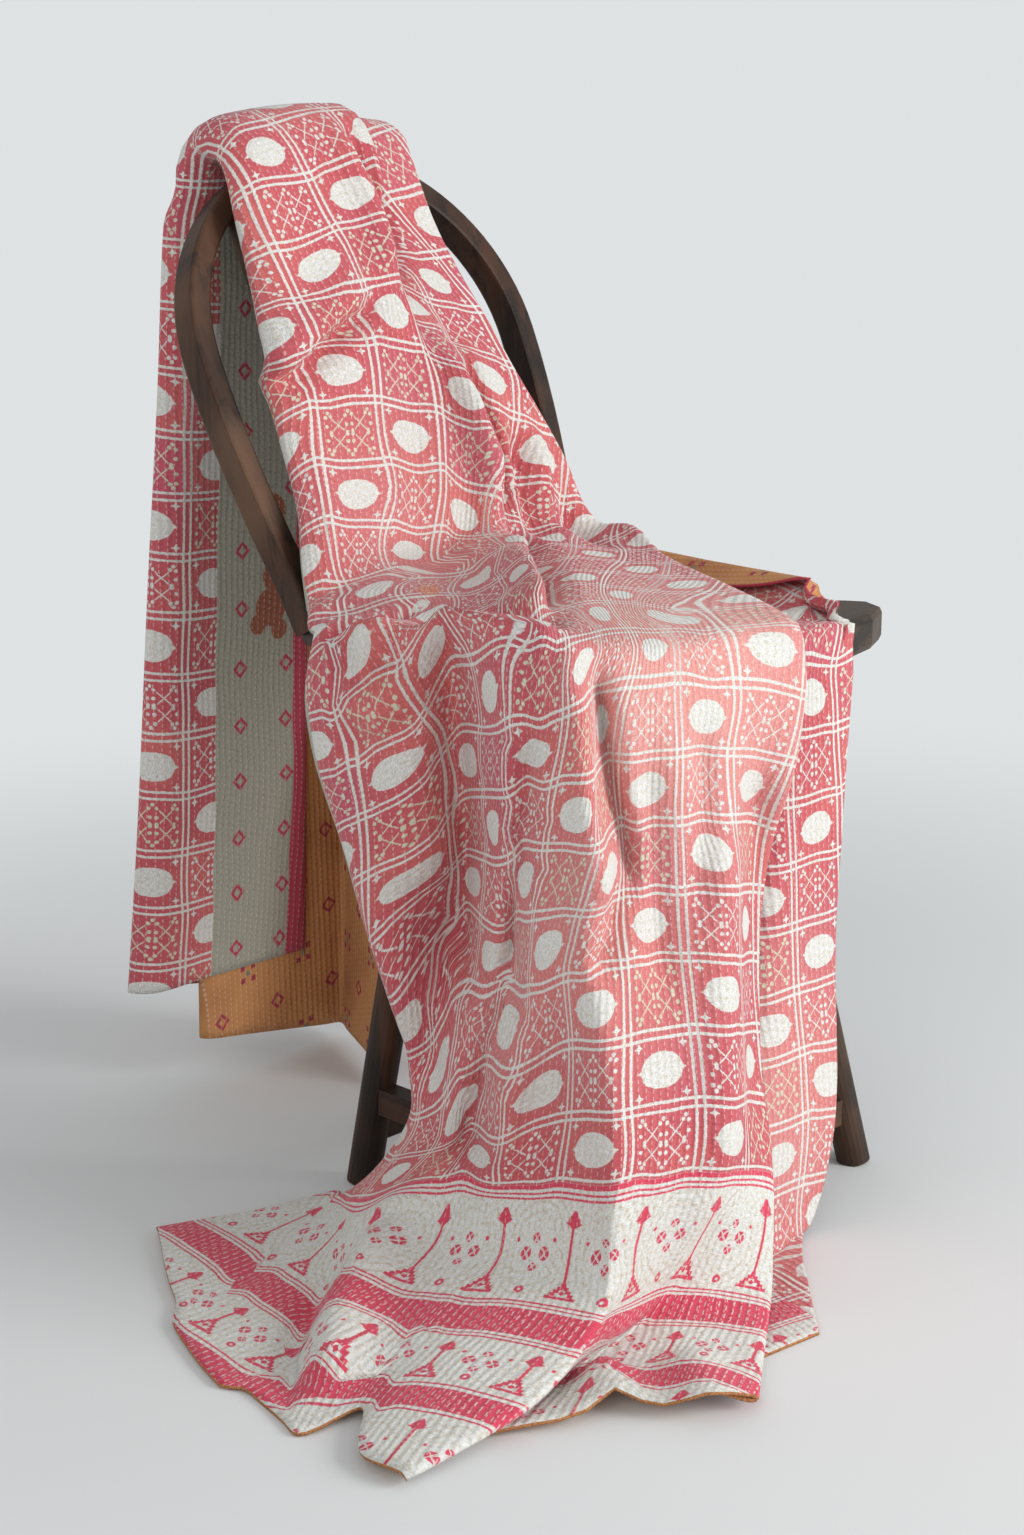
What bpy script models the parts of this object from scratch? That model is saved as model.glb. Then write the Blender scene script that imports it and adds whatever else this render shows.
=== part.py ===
"""Hoop-back chair with a hand-stitched quilt thrown over it, in metres, +Z up, the chair facing -Y.

The quilt is one cloth. Its shape comes from two tables of crosswise sections: LAID from the hem behind the
chair, up over the bow and down the back, then OPEN over the seat and out on the floor. Each section says
where the nine lengthwise lines of FOLDS pass through it.
"""

import math

import bmesh
import bpy
import numpy as np
from mathutils import Vector

# ---- chair, driving sizes ----
SEAT_TOP = 0.465
SEAT_THICK = 0.030
SEAT_ROUND = 0.006
SEAT_REAR_Y = 0.212
SEAT_FRONT_Y = -0.166
SEAT_CORNER_Y = -0.130
SEAT_BEVEL_OVER = math.radians(50)

# half outline of the seat from the middle of the rear edge to the middle of the front edge: x, y
SEAT_OUTLINE = (
    (0.060, SEAT_REAR_Y),
    (0.115, 0.208),
    (0.148, 0.192),
    (0.158, 0.165),
    (0.153, 0.110),
    (0.146, 0.040),
    (0.147, -0.020),
    (0.160, -0.065),
    (0.184, -0.095),
    (0.193, -0.112),
    (0.184, SEAT_CORNER_Y),
    (0.150, -0.146),
    (0.090, -0.160),
)

BOW_RAKE = math.radians(24.5)
BOW_FOOT_Y = 0.182
BOW_FOOT_HALF = 0.150
BOW_WIDE_HALF = 0.178
BOW_WIDE_AT = 0.210
BOW_LENGTH = 0.380
BOW_WIDTH = 0.020
BOW_DEPTH = 0.026
BOW_EDGE = 0.003
BOW_TENON = 0.016
BOW_STEPS_LOW = 10
BOW_STEPS_HIGH = 22

SPINDLE_COUNT = 5
SPINDLE_RADIUS = 0.0085
SPINDLE_FOOT_STEP = 0.046
SPINDLE_TOP_STEP = 0.050
SPINDLE_TENON = 0.014
SPINDLE_TAPER = 0.9
SPINDLE_SIDES = 16
SOCKET_SHARE = 0.001

LEG_RADIUS_FOOT = 0.0138
LEG_RADIUS_TOP = 0.0155
LEG_TENON = 0.016
# foot x, foot y, top x, top y of the right-hand legs; the left ones mirror them
LEGS = {
    "leg_front": (0.156, -0.142, 0.092, -0.060),
    "leg_rear": (0.155, 0.122, 0.105, 0.072),
}
STRETCHER_THICK = 0.0175
STRETCHER_HEIGHT = 0.0220
SIDE_STRETCHER_Z = 0.074
CROSS_STRETCHER_Z = 0.048
# the side of the chair's middle that a leg stands on, and the sitter's hand on that side
HANDS = {-1: "right", 1: "left"}
STRETCHERS = (
    ("stretcher_right", ("leg_front", -1), ("leg_rear", -1), SIDE_STRETCHER_Z),
    ("stretcher_left", ("leg_front", 1), ("leg_rear", 1), SIDE_STRETCHER_Z),
    ("stretcher_front", ("leg_front", -1), ("leg_front", 1), CROSS_STRETCHER_Z),
    ("stretcher_rear", ("leg_rear", -1), ("leg_rear", 1), CROSS_STRETCHER_Z),
)
GAP = 0.0003

# ---- quilt, driving sizes ----
CLOTH_THICK = 0.0026
LAYER_PITCH = 0.0046
REST = 0.0166

FOLDS = ("edge", "near", "valley", "ridge", "lap", "far", "tuck", "panel", "selvedge")
# level of each strand of cloth at its two folds, counted outward from the chair
STACKED = ((0, 0), (6, 6), (5, 5), (4, 4), (4, 4), (3, 3), (1, 1), (2, 2))
SPREAD = ((0, 0), (6, 6), (5, 5), (4, 4), (4, 4), (3, 3), (1, 1), (1, 1))
FLAPPED = ((0, 0), (6, 6), (6, 5), (5, 5), (5, 5), (3, 3), (1, 1), (2, 2))
SETTLED = ((0, 0), (2, 5), (6, 5), (5, 5), (5, 5), (3, 3), (1, 1), (2, 2))
TIPPED = ((0, 0), (4, 6), (6, 5), (5, 5), (5, 5), (3, 3), (1, 1), (1, 1))
OPENED = ((0, 0), (6, 6), (6, 5), (5, 5), (5, 5), (3, 3), (1, 1), (1, 1))
TUCKED = ((0, 0), (1, 3), (3, 4), (3, 3), (2, 2), (1, 1), (0, 0), (0, 0))
FLOORED = ((0, 0), (1, 0), (0, 2), (1, 1), (0, 2), (1, 1), (0, 0), (0, 0))
# whether valley, ridge, lap and panel are folded (1) or let out (0)
PLEATED = {STACKED: (1, 1, 0, 1), SPREAD: (1, 1, 0, 0), FLAPPED: (0, 0, 0, 1), SETTLED: (0, 0, 0, 1),
           TIPPED: (0, 0, 0, 0), OPENED: (0, 0, 0, 0), TUCKED: (0, 1, 1, 0), FLOORED: (0, 1, 1, 0)}

# sections on the chair's back: where they lie, how far along (height z behind the chair; degrees over the
# bow; distance s up the back in front), stand-off y behind, how the layers lie, then for each line of
# FOLDS its x, and how far valley, ridge, lap, far and selvedge stand out beyond the layers under them
LAID = (
    ("hang", 0.070, 0.380, SPREAD, (0.012, -0.178, 0.040, -0.050, 0.000, 0.055, -0.105, 0.060, 0.000),
     (0, 0, 0, 0, -0.130)),
    ("hang", 0.250, 0.374, SPREAD, (0.012, -0.165, 0.042, -0.056, 0.000, 0.058, -0.105, 0.064, 0.032),
     (0, 0, 0, 0, -0.095)),
    ("hang", 0.450, 0.368, SPREAD, (0.014, -0.150, 0.044, -0.064, 0.000, 0.062, -0.100, 0.070, 0.074),
     (0, 0, 0, 0, -0.052)),
    ("hang", 0.640, 0.364, SPREAD, (0.034, -0.133, 0.042, -0.076, -0.005, 0.070, -0.098, 0.070, 0.094),
     (0, 0, 0, 0, -0.008)),
    ("hang", 0.710, 0.363, SPREAD, (0.044, -0.128, 0.040, -0.080, -0.007, 0.076, -0.097, 0.069, 0.072),
     (0, 0, 0, 0, 0.0065)),
    ("hang", 0.755, 0.362, STACKED, (0.052, -0.124, 0.038, -0.082, -0.008, 0.077, -0.097, 0.070, 0.061),
     (0, 0, 0, 0, 0)),
    ("over", 0.0, 0.0, STACKED, (0.062, -0.120, 0.034, -0.084, -0.010, 0.080, -0.096, 0.072, 0.032),
     (0, 0, 0, 0, 0)),
    ("over", 20.0, 0.0, STACKED, (0.063, -0.121, 0.033, -0.085, -0.010, 0.080, -0.096, 0.072, 0.032),
     (0, 0, 0, 0, 0)),
    ("over", 40.0, 0.0, STACKED, (0.064, -0.122, 0.032, -0.085, -0.010, 0.080, -0.096, 0.072, 0.032),
     (0, 0, 0, 0, 0)),
    ("over", 60.0, 0.0, STACKED, (0.065, -0.122, 0.031, -0.085, -0.010, 0.080, -0.097, 0.072, 0.032),
     (0, 0, 0, 0, 0)),
    ("over", 80.0, 0.0, STACKED, (0.066, -0.123, 0.030, -0.085, -0.010, 0.080, -0.097, 0.072, 0.032),
     (0, 0, 0, 0, 0)),
    ("over", 100.0, 0.0, STACKED, (0.066, -0.123, 0.029, -0.084, -0.009, 0.080, -0.097, 0.071, 0.031),
     (0, 0, 0, 0, 0)),
    ("over", 120.0, 0.0, STACKED, (0.066, -0.124, 0.028, -0.083, -0.008, 0.079, -0.097, 0.071, 0.031),
     (0, 0, 0, 0, 0)),
    ("over", 138.0, 0.0, STACKED, (0.066, -0.124, 0.028, -0.081, -0.006, 0.078, -0.097, 0.070, 0.030),
     (0, 0, 0, 0, 0)),
    ("over", 155.5, 0.0, STACKED, (0.065, -0.125, 0.028, -0.078, -0.004, 0.076, -0.097, 0.068, 0.028),
     (0, 0, 0, 0, 0)),
    ("lean", 0.310, 0.0, STACKED, (0.060, -0.128, 0.026, -0.050, 0.010, 0.080, -0.098, 0.071, 0.031),
     (0, 0, 0, 0, 0)),
    ("lean", 0.255, 0.0, STACKED, (0.056, -0.132, 0.016, 0.007, 0.042, 0.094, -0.100, 0.084, 0.044),
     (0, 0, 0, 0, 0)),
    ("lean", 0.215, 0.0, FLAPPED, (0.052, -0.139, 0.008, 0.018, 0.064, 0.106, -0.100, 0.094, 0.054),
     (0.005, 0.002, 0.000, 0.000, 0)),
    ("lean", 0.165, 0.0, FLAPPED, (0.045, -0.147, -0.010, 0.046, 0.088, 0.120, -0.100, 0.106, 0.066),
     (0.001, 0.018, 0.007, 0.001, 0)),
    ("lean", 0.080, 0.0, FLAPPED, (0.036, -0.152, -0.030, 0.040, 0.095, 0.146, -0.082, 0.132, 0.092),
     (-0.004, 0.024, 0.006, 0.002, 0)),
    ("lean", 0.030, 0.0, FLAPPED, (0.035, -0.166, -0.045, 0.036, 0.096, 0.153, -0.078, 0.140, 0.100),
     (-0.006, 0.022, 0.005, 0.002, 0)),
)
# height of the hem behind the chair at each line: the pieced layers don't hang level
HEM_HEIGHT = (0.098, 0.100, 0.060, 0.070, 0.055, 0.030, 0.040, 0.012, 0.010)

# sections out from the chair's back: name, whether outward is to the front, round the seat's middle or up
# from the floor, its tilt above level in degrees, how the layers lie, belly of the near, corner and front
# strands, then x, y, z of the innermost cloth at each line, before the levels are added
OPEN = (
    ("seat_back", "front", 68.0, SETTLED, (0.004, 0.006, 0.000), (
        (0.034, 0.150, 0.4745), (-0.182, 0.146, 0.4740), (-0.060, 0.146, 0.4730), (0.030, 0.138, 0.4900),
        (0.095, 0.144, 0.4790), (0.160, 0.148, 0.4745), (-0.078, 0.148, 0.4740), (0.145, 0.150, 0.4740),
        (0.104, 0.148, 0.4740))),
    ("seat_mid", "round", 90.0, SETTLED, (0.006, 0.006, 0.000), (
        (0.000, 0.045, 0.4695), (-0.206, 0.112, 0.4735), (-0.130, 0.020, 0.4650), (-0.075, -0.030, 0.4830),
        (0.010, -0.025, 0.4740), (0.090, 0.000, 0.4710), (-0.085, 0.010, 0.4695), (0.128, -0.005, 0.4700),
        (0.090, -0.020, 0.4710))),
    ("brink", "round", 40.0, TIPPED, (0.006, 0.000, 0.000), (
        (-0.196, -0.085, 0.4700), (-0.200, 0.100, 0.4700), (-0.200, -0.020, 0.4700), (-0.200, -0.145, 0.4760),
        (-0.110, -0.166, 0.4720), (0.000, -0.172, 0.4710), (-0.120, -0.164, 0.4700), (0.096, -0.164, 0.4700),
        (0.108, -0.170, 0.4920))),
    ("edge", "round", 6.0, OPENED, (0.010, -0.004, 0.000), (
        (-0.200, -0.075, 0.4330), (-0.201, 0.100, 0.4250), (-0.198, -0.020, 0.4350), (-0.205, -0.148, 0.4500),
        (-0.116, -0.172, 0.4420), (-0.008, -0.183, 0.4420), (-0.125, -0.170, 0.4330), (0.060, -0.173, 0.4420),
        (0.084, -0.172, 0.4420))),
    ("drop", "round", 0.0, OPENED, (0.018, -0.006, 0.002), (
        (-0.188, -0.105, 0.2700), (-0.199, 0.060, 0.2800), (-0.174, -0.023, 0.2850), (-0.208, -0.167, 0.3100),
        (-0.124, -0.191, 0.2900), (-0.046, -0.194, 0.2850), (-0.155, -0.183, 0.2700), (0.038, -0.174, 0.2620),
        (0.069, -0.174, 0.2560))),
    ("low", "round", 10.0, OPENED, (0.006, -0.004, 0.004), (
        (-0.188, -0.075, 0.0950), (-0.181, 0.018, 0.1080), (-0.199, -0.072, 0.1110), (-0.223, -0.209, 0.1410),
        (-0.153, -0.229, 0.1080), (-0.075, -0.223, 0.0960), (-0.174, -0.202, 0.0890), (0.004, -0.194, 0.0890),
        (0.045, -0.196, 0.0740))),
    ("floor_in", "round", 60.0, TUCKED, (0.000, 0.010, 0.004), (
        (-0.168, 0.000, 0.0060), (-0.193, 0.095, 0.0120), (-0.256, 0.000, 0.0220), (-0.250, -0.228, 0.0300),
        (-0.187, -0.219, 0.0150), (-0.103, -0.257, 0.0180), (-0.179, -0.223, 0.0090), (-0.030, -0.210, 0.0040),
        (0.012, -0.203, 0.0060))),
    ("floor_mid", "floor", 90.0, FLOORED, (0.010, 0.010, 0.003), (
        (-0.230, 0.040, 0.0016), (-0.266, 0.136, 0.0014), (-0.378, -0.070, 0.0050), (-0.364, -0.256, 0.0110),
        (-0.310, -0.226, 0.0022), (-0.170, -0.306, 0.0016), (-0.225, -0.262, 0.0015), (-0.095, -0.262, 0.0014),
        (-0.054, -0.256, 0.0016))),
    ("hem", "floor", 90.0, FLOORED, (0.018, 0.002, 0.003), (
        (-0.295, 0.090, 0.0013), (-0.334, 0.164, 0.0013), (-0.468, -0.152, 0.0018), (-0.463, -0.250, 0.0013),
        (-0.424, -0.214, 0.0013), (-0.228, -0.347, 0.0013), (-0.262, -0.292, 0.0013), (-0.152, -0.306, 0.0013),
        (-0.112, -0.311, 0.0013))),
)
STRAND_STOPS = (0.0, 1 / 3, 2 / 3, 1.0)
ROUND_OPEN = 0.022
ROUND_LEAST = 0.003
SHARE_MOST = 0.3
OVER_RADIUS = 0.0215
ARCH_FOLLOW = 0.45
HEM_BELOW = 0.1
LIFT_FROM = 0.2
LIFT_OVER = 0.17
SEAT_MIDDLE_Y = 0.02
ROW_STEP = 0.045


def unit(vector):
    return vector / np.linalg.norm(vector)


def bow_half(s):
    """Half width of the hoop at distance s up its plane: straight-sided below, half an ellipse above."""
    if s < BOW_WIDE_AT:
        return BOW_FOOT_HALF + (BOW_WIDE_HALF - BOW_FOOT_HALF) * math.sin(math.pi / 2 * s / BOW_WIDE_AT)
    rise = min(1.0, (s - BOW_WIDE_AT) / (BOW_LENGTH - BOW_WIDTH / 2 - BOW_WIDE_AT))
    return BOW_WIDE_HALF * math.sqrt(max(0.0, 1 - rise * rise))


def bow_point(x, s):
    """A point of the bow's leaning plane, x across and s up it from the seat top."""
    return np.array([x, BOW_FOOT_Y + s * math.sin(BOW_RAKE), SEAT_TOP + s * math.cos(BOW_RAKE)])


LEAN_OUT = np.array([0.0, -math.cos(BOW_RAKE), math.sin(BOW_RAKE)])


def arch_drop(x):
    """How far the bow's crest lies below its middle at this x."""
    half = BOW_LENGTH - BOW_WIDTH / 2 - BOW_WIDE_AT
    return half * (1 - math.sqrt(max(0.0, 1 - (x / BOW_WIDE_HALF) ** 2)))


def mean_levels(levels):
    """The level of each line: halfway between the strands on its two sides."""
    first, last = levels[0][0], levels[-1][1]
    between = [(before[1] + after[0]) / 2 for before, after in zip(levels[:-1], levels[1:])]
    return [first] + between + [last]


def laid_place(kind, along, stand, xs, rises):
    """Gives the point of a section on the chair: strand, fraction of the way along it, level."""
    rise = (0.0, 0.0) + tuple(rises[:4]) + (0.0, 0.0, rises[4])

    def place(k, f, level, swell):
        x = xs[k] + (xs[k + 1] - xs[k]) * f
        up = level * LAYER_PITCH + swell + rise[k] + (rise[k + 1] - rise[k]) * f
        if kind == "hang":
            hem = HEM_HEIGHT[k] + (HEM_HEIGHT[k + 1] - HEM_HEIGHT[k]) * f
            return np.array([x, stand + up, hem if along < HEM_BELOW else along])
        if kind == "over":
            turn = math.radians(along)
            crest = bow_point(x, BOW_LENGTH - BOW_WIDTH / 2 - ARCH_FOLLOW * arch_drop(x))
            return crest + np.array([0.0, math.cos(turn), math.sin(turn)]) * (OVER_RADIUS + up)
        stand_off = REST + (OVER_RADIUS - REST) * max(0.0, (along - LIFT_FROM) / LIFT_OVER)
        return bow_point(x, along) + LEAN_OUT * (stand_off + up)

    lengths = [math.hypot(xs[k + 1] - xs[k], rise[k + 1] - rise[k]) for k in range(len(xs) - 1)]
    return place, lengths


def open_place(facing, tilt, corners):
    """The same for a section away from the back: outward is away from the seat's middle, tilted up."""
    corners = [np.array(corner) for corner in corners]
    turn = math.radians(tilt)
    run_x, run_y, _ = corners[2] - corners[1]
    out_x, out_y = run_y, -run_x
    outs = []
    for corner in corners:
        level = unit(np.array([corner[0], corner[1] - SEAT_MIDDLE_Y, 0.0]))
        if facing == "front":
            level = np.array([0.0, -1.0, 0.0])
        outs.append(level * math.cos(turn) + np.array([0.0, 0.0, 1.0]) * math.sin(turn))

    def place(k, f, level, swell):
        out = unit(outs[k] + (outs[k + 1] - outs[k]) * f)
        bulge = out
        if facing == "floor" and k == 1:
            bulge = unit(np.array([out_x, out_y, 0.0]))
        return corners[k] + (corners[k + 1] - corners[k]) * f + out * level * LAYER_PITCH + bulge * swell

    lengths = [float(np.linalg.norm(b - a)) for a, b in zip(corners[:-1], corners[1:])]
    return place, lengths


def section(place, lengths, levels, bellies=(0.0, 0.0, 0.0)):
    """The section as one run of points: each strand straight but for its belly, each fold rounded."""
    means = mean_levels(levels)
    last = len(levels)
    folded = PLEATED[levels]
    sharp = (1, 1, folded[0], folded[1], folded[2], 1, 1, folded[3], 1)
    belly = {1: bellies[0], 2: bellies[1], 4: bellies[2]}
    run = []
    for k, (low, high) in enumerate(levels):
        start, end = 0.0, 1.0
        for j, level in ((k, low), (k + 1, high)):
            if j in (0, last):
                continue
            back = abs(level - means[j]) * LAYER_PITCH if sharp[j] else ROUND_OPEN
            share = min(SHARE_MOST, max(back, ROUND_LEAST) / lengths[k])
            if j == k:
                start = share
            else:
                end = 1.0 - share
        low = low if sharp[k] else means[k]
        high = high if sharp[k + 1] else means[k + 1]
        for f in STRAND_STOPS:
            swell = belly.get(k, 0.0) * 4 * f * (1 - f)
            run.append(place(k, start + (end - start) * f, low + (high - low) * f, swell))
        if k + 1 < last:
            run.append(place(k, 1.0, means[k + 1], 0.0))
    return np.array(run)


def quilt_sections():
    rows = []
    for kind, along, stand, levels, xs, rises in LAID:
        place, lengths = laid_place(kind, along, stand, xs, rises)
        rows.append(section(place, lengths, levels))
    for _, facing, tilt, levels, bellies, corners in OPEN:
        place, lengths = open_place(facing, tilt, corners)
        rows.append(section(place, lengths, levels, bellies))
    return np.array(rows)


def with_rows(rows):
    """Rows added between the given ones, on cubic arcs whose slopes never overshoot."""
    gaps = np.linalg.norm(np.diff(rows, axis=0), axis=2).mean(axis=1)
    at = np.concatenate([[0.0], np.cumsum(gaps)])
    rises = np.diff(rows, axis=0) / gaps[:, None, None]
    slopes = np.zeros_like(rows)
    before, after = rises[:-1], rises[1:]
    same = before * after > 0
    w1 = (2 * gaps[1:] + gaps[:-1])[:, None, None]
    w2 = (gaps[1:] + 2 * gaps[:-1])[:, None, None]
    safe_before = np.where(same, before, 1.0)
    safe_after = np.where(same, after, 1.0)
    slopes[1:-1] = np.where(same, (w1 + w2) / (w1 / safe_before + w2 / safe_after), 0.0)
    slopes[0], slopes[-1] = rises[0], rises[-1]
    out = []
    for i, gap in enumerate(gaps):
        steps = max(1, round(gap / ROW_STEP))
        for step in range(steps):
            f = step / steps
            h00, h10 = 2 * f**3 - 3 * f**2 + 1, f**3 - 2 * f**2 + f
            h01, h11 = -2 * f**3 + 3 * f**2, f**3 - f**2
            out.append(h00 * rows[i] + h10 * gap * slopes[i] + h01 * rows[i + 1] + h11 * gap * slopes[i + 1])
    out.append(rows[-1])
    return np.array(out)


def material(name, colour, roughness):
    made = bpy.data.materials.new(name)
    made.use_nodes = True
    shader = made.node_tree.nodes["Principled BSDF"]
    shader.inputs["Base Color"].default_value = (*colour, 1.0)
    shader.inputs["Roughness"].default_value = roughness
    made.diffuse_color = (*colour, 1.0)
    return made


def finish(obj, collection, made):
    for old in obj.users_collection:
        old.objects.unlink(obj)
    collection.objects.link(obj)
    obj.data.materials.clear()
    obj.data.materials.append(made)
    return obj


def mesh_object(name, vertices, faces):
    mesh = bpy.data.meshes.new(name)
    mesh.from_pydata([tuple(map(float, v)) for v in vertices], [], faces)
    mesh.update()
    return bpy.data.objects.new(name, mesh)


def round_bar(name, start, end, radius_start, radius_end, sides=20):
    """A turned bar between two points, as a cone lying along their line."""
    start, end = Vector(start), Vector(end)
    bpy.ops.mesh.primitive_cone_add(
        vertices=sides, radius1=radius_start, radius2=radius_end, depth=(end - start).length)
    bar = bpy.context.object
    bar.name = name
    bar.data.name = name
    bar.location = (start + end) / 2
    bar.rotation_euler = (end - start).to_track_quat("Z", "Y").to_euler()
    return bar


def hoop_curve(name, grow, reach):
    """The bow: a rounded rectangle swept along the hoop, from tenon to tenon."""
    top = BOW_LENGTH - BOW_WIDTH / 2
    side = [(bow_half(s), s) for s in np.linspace(0.0, BOW_WIDE_AT, BOW_STEPS_LOW)]
    for a in np.linspace(0.0, math.pi / 2, BOW_STEPS_HIGH)[1:]:
        side.append((BOW_WIDE_HALF * math.cos(a), BOW_WIDE_AT + (top - BOW_WIDE_AT) * math.sin(a)))
    side[0] = (BOW_FOOT_HALF, -reach)
    path = [bow_point(-x, s) for x, s in side] + [bow_point(x, s) for x, s in side[-2::-1]]
    half_w, half_d = BOW_WIDTH / 2 + grow, BOW_DEPTH / 2 + grow
    corners = []
    for sx, sy in ((1, 1), (-1, 1), (-1, -1), (1, -1)):
        for k in range(3):
            a = math.atan2(sy, sx) + (k - 1) * math.pi / 4
            corners.append((
                sx * (half_w - BOW_EDGE) + BOW_EDGE * math.cos(a),
                sy * (half_d - BOW_EDGE) + BOW_EDGE * math.sin(a)))
    vertices, faces = [], []
    for i, place in enumerate(path):
        ahead = path[min(i + 1, len(path) - 1)]
        behind = path[max(i - 1, 0)]
        tangent = unit(ahead - behind)
        across = np.cross(tangent, LEAN_OUT)
        for w, d in corners:
            vertices.append(place + across * w + LEAN_OUT * d)
    ring = len(corners)
    for i in range(len(path) - 1):
        for k in range(ring):
            a, b = i * ring + k, i * ring + (k + 1) % ring
            faces.append((a, b, b + ring, a + ring))
    faces.append(tuple(range(ring))[::-1])
    faces.append(tuple((len(path) - 1) * ring + k for k in range(ring)))
    return mesh_object(name, vertices, faces)


def recalculated(obj):
    grid = bmesh.new()
    grid.from_mesh(obj.data)
    bmesh.ops.recalc_face_normals(grid, faces=grid.faces)
    grid.to_mesh(obj.data)
    grid.free()
    return obj


def boolean(obj, cutter, operation="DIFFERENCE"):
    modifier = obj.modifiers.new(cutter.name, "BOOLEAN")
    modifier.operation = operation
    modifier.object = cutter
    modifier.solver = "EXACT"


def as_cutter(obj, cutters):
    for old in obj.users_collection:
        old.objects.unlink(obj)
    cutters.objects.link(obj)
    obj.hide_render = True
    obj.display_type = "WIRE"
    return obj


def leg_line(kind, side, z):
    """A point of the leg's axis at height z; side is -1 on the sitter's right and 1 on the left."""
    foot_x, foot_y, top_x, top_y = LEGS[kind]
    f = z / (SEAT_TOP - SEAT_THICK)
    return Vector((side * (foot_x + (top_x - foot_x) * f), foot_y + (top_y - foot_y) * f, z))


def make_seat(parts, cutters, wood):
    right = [(x, y) for x, y in SEAT_OUTLINE]
    outline = right + [(0.0, SEAT_FRONT_Y)] + [(-x, y) for x, y in reversed(right)]
    count = len(outline)
    low = SEAT_TOP - SEAT_THICK
    vertices = [(x, y, low) for x, y in outline] + [(x, y, SEAT_TOP) for x, y in outline]
    faces = [tuple(range(count)), tuple(range(2 * count - 1, count - 1, -1))]
    faces += [(i, i + count, (i + 1) % count + count, (i + 1) % count) for i in range(count)]
    seat = recalculated(mesh_object("seat", vertices, faces))
    parts.objects.link(seat)
    bevel = seat.modifiers.new("worn edge", "BEVEL")
    bevel.width = SEAT_ROUND
    bevel.segments = 2
    bevel.limit_method = "ANGLE"
    bevel.angle_limit = SEAT_BEVEL_OVER
    holes = hoop_curve("bow_mortise", GAP, BOW_TENON + GAP)
    cutters.objects.link(holes)
    boolean(seat, as_cutter(recalculated(holes), cutters))
    return finish(seat, parts, wood)


def spindle_ends(number):
    """Foot and top of a back spindle in the bow's plane."""
    offset = number - (SPINDLE_COUNT - 1) / 2
    foot_x = offset * SPINDLE_FOOT_STEP
    top_x = offset * SPINDLE_TOP_STEP
    rise = math.sqrt(1 - (top_x / BOW_WIDE_HALF) ** 2)
    top_s = BOW_WIDE_AT + (BOW_LENGTH - BOW_WIDTH / 2 - BOW_WIDE_AT) * rise
    return foot_x, top_x, top_s


def make_spindle(number, seat, bow, parts, cutters, wood):
    """A back spindle, let into the seat and the bow by sockets of its own size."""
    foot_x, top_x, top_s = spindle_ends(number)
    shrink = 1 - (BOW_WIDTH / 2 - SPINDLE_TENON / 2) / top_s
    thin = SPINDLE_RADIUS * SPINDLE_TAPER
    name = f"spindle_{number + 1}"
    foot = bow_point(foot_x, -SPINDLE_TENON)
    top = bow_point(foot_x + (top_x - foot_x) * shrink, top_s * shrink)
    finish(round_bar(name, foot, top, SPINDLE_RADIUS, thin, SPINDLE_SIDES), parts, wood)
    deeper = shrink + SOCKET_SHARE
    reach = bow_point(foot_x, -SPINDLE_TENON - GAP)
    far = bow_point(foot_x + (top_x - foot_x) * deeper, top_s * deeper)
    hole = round_bar(f"hole_{name}", reach, far, SPINDLE_RADIUS + GAP, thin + GAP, SPINDLE_SIDES)
    as_cutter(hole, cutters)
    boolean(seat, hole)
    boolean(bow, hole)


def make_leg(kind, side, hand, seat, floor_level, parts, cutters, wood):
    """A splayed leg, cut level at the floor and let into the seat from below."""
    name = f"{kind}_{hand}"
    low = SEAT_TOP - SEAT_THICK
    foot, top = leg_line(kind, side, 0.0), leg_line(kind, side, low + LEG_TENON)
    leg = round_bar(name, foot, top, LEG_RADIUS_FOOT, LEG_RADIUS_TOP)
    finish(leg, parts, wood)
    above = leg_line(kind, side, low + LEG_TENON + GAP)
    hole = round_bar(f"hole_{name}", foot, above, LEG_RADIUS_FOOT + GAP, LEG_RADIUS_TOP + GAP)
    as_cutter(hole, cutters)
    boolean(seat, hole)
    boolean(leg, floor_level)


def make_stretcher(name, first, second, z, parts, wood):
    """A flat rail between two legs, its ends hollowed to the legs' round."""
    start, end = leg_line(*first, z), leg_line(*second, z)
    bpy.ops.mesh.primitive_cube_add(size=1.0, location=(start + end) / 2)
    rail = bpy.context.object
    rail.name = name
    rail.scale = ((end - start).length, STRETCHER_THICK, STRETCHER_HEIGHT)
    rail.rotation_euler = (0.0, 0.0, math.atan2(end.y - start.y, end.x - start.x))
    finish(rail, parts, wood)
    for kind, side in (first, second):
        hand = HANDS[side]
        boolean(rail, bpy.data.objects[f"hole_{kind}_{hand}"])


def make_chair(parts, cutters):
    wood = material("dark_wood", (0.060, 0.032, 0.020), 0.55)
    seat_wood = material("seat_wood", (0.085, 0.055, 0.036), 0.60)
    seat = make_seat(parts, cutters, seat_wood)
    bow = recalculated(hoop_curve("bow", 0.0, BOW_TENON))
    parts.objects.link(bow)
    finish(bow, parts, wood)
    for number in range(SPINDLE_COUNT):
        make_spindle(number, seat, bow, parts, cutters, wood)
    bpy.ops.mesh.primitive_cube_add(size=1.0, location=(0.0, 0.0, -0.5))
    floor_level = bpy.context.object
    floor_level.name = "floor_level"
    as_cutter(floor_level, cutters)
    for kind in LEGS:
        for side, hand in HANDS.items():
            make_leg(kind, side, hand, seat, floor_level, parts, cutters, wood)
    for name, first, second, z in STRETCHERS:
        make_stretcher(name, first, second, z, parts, wood)


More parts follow.
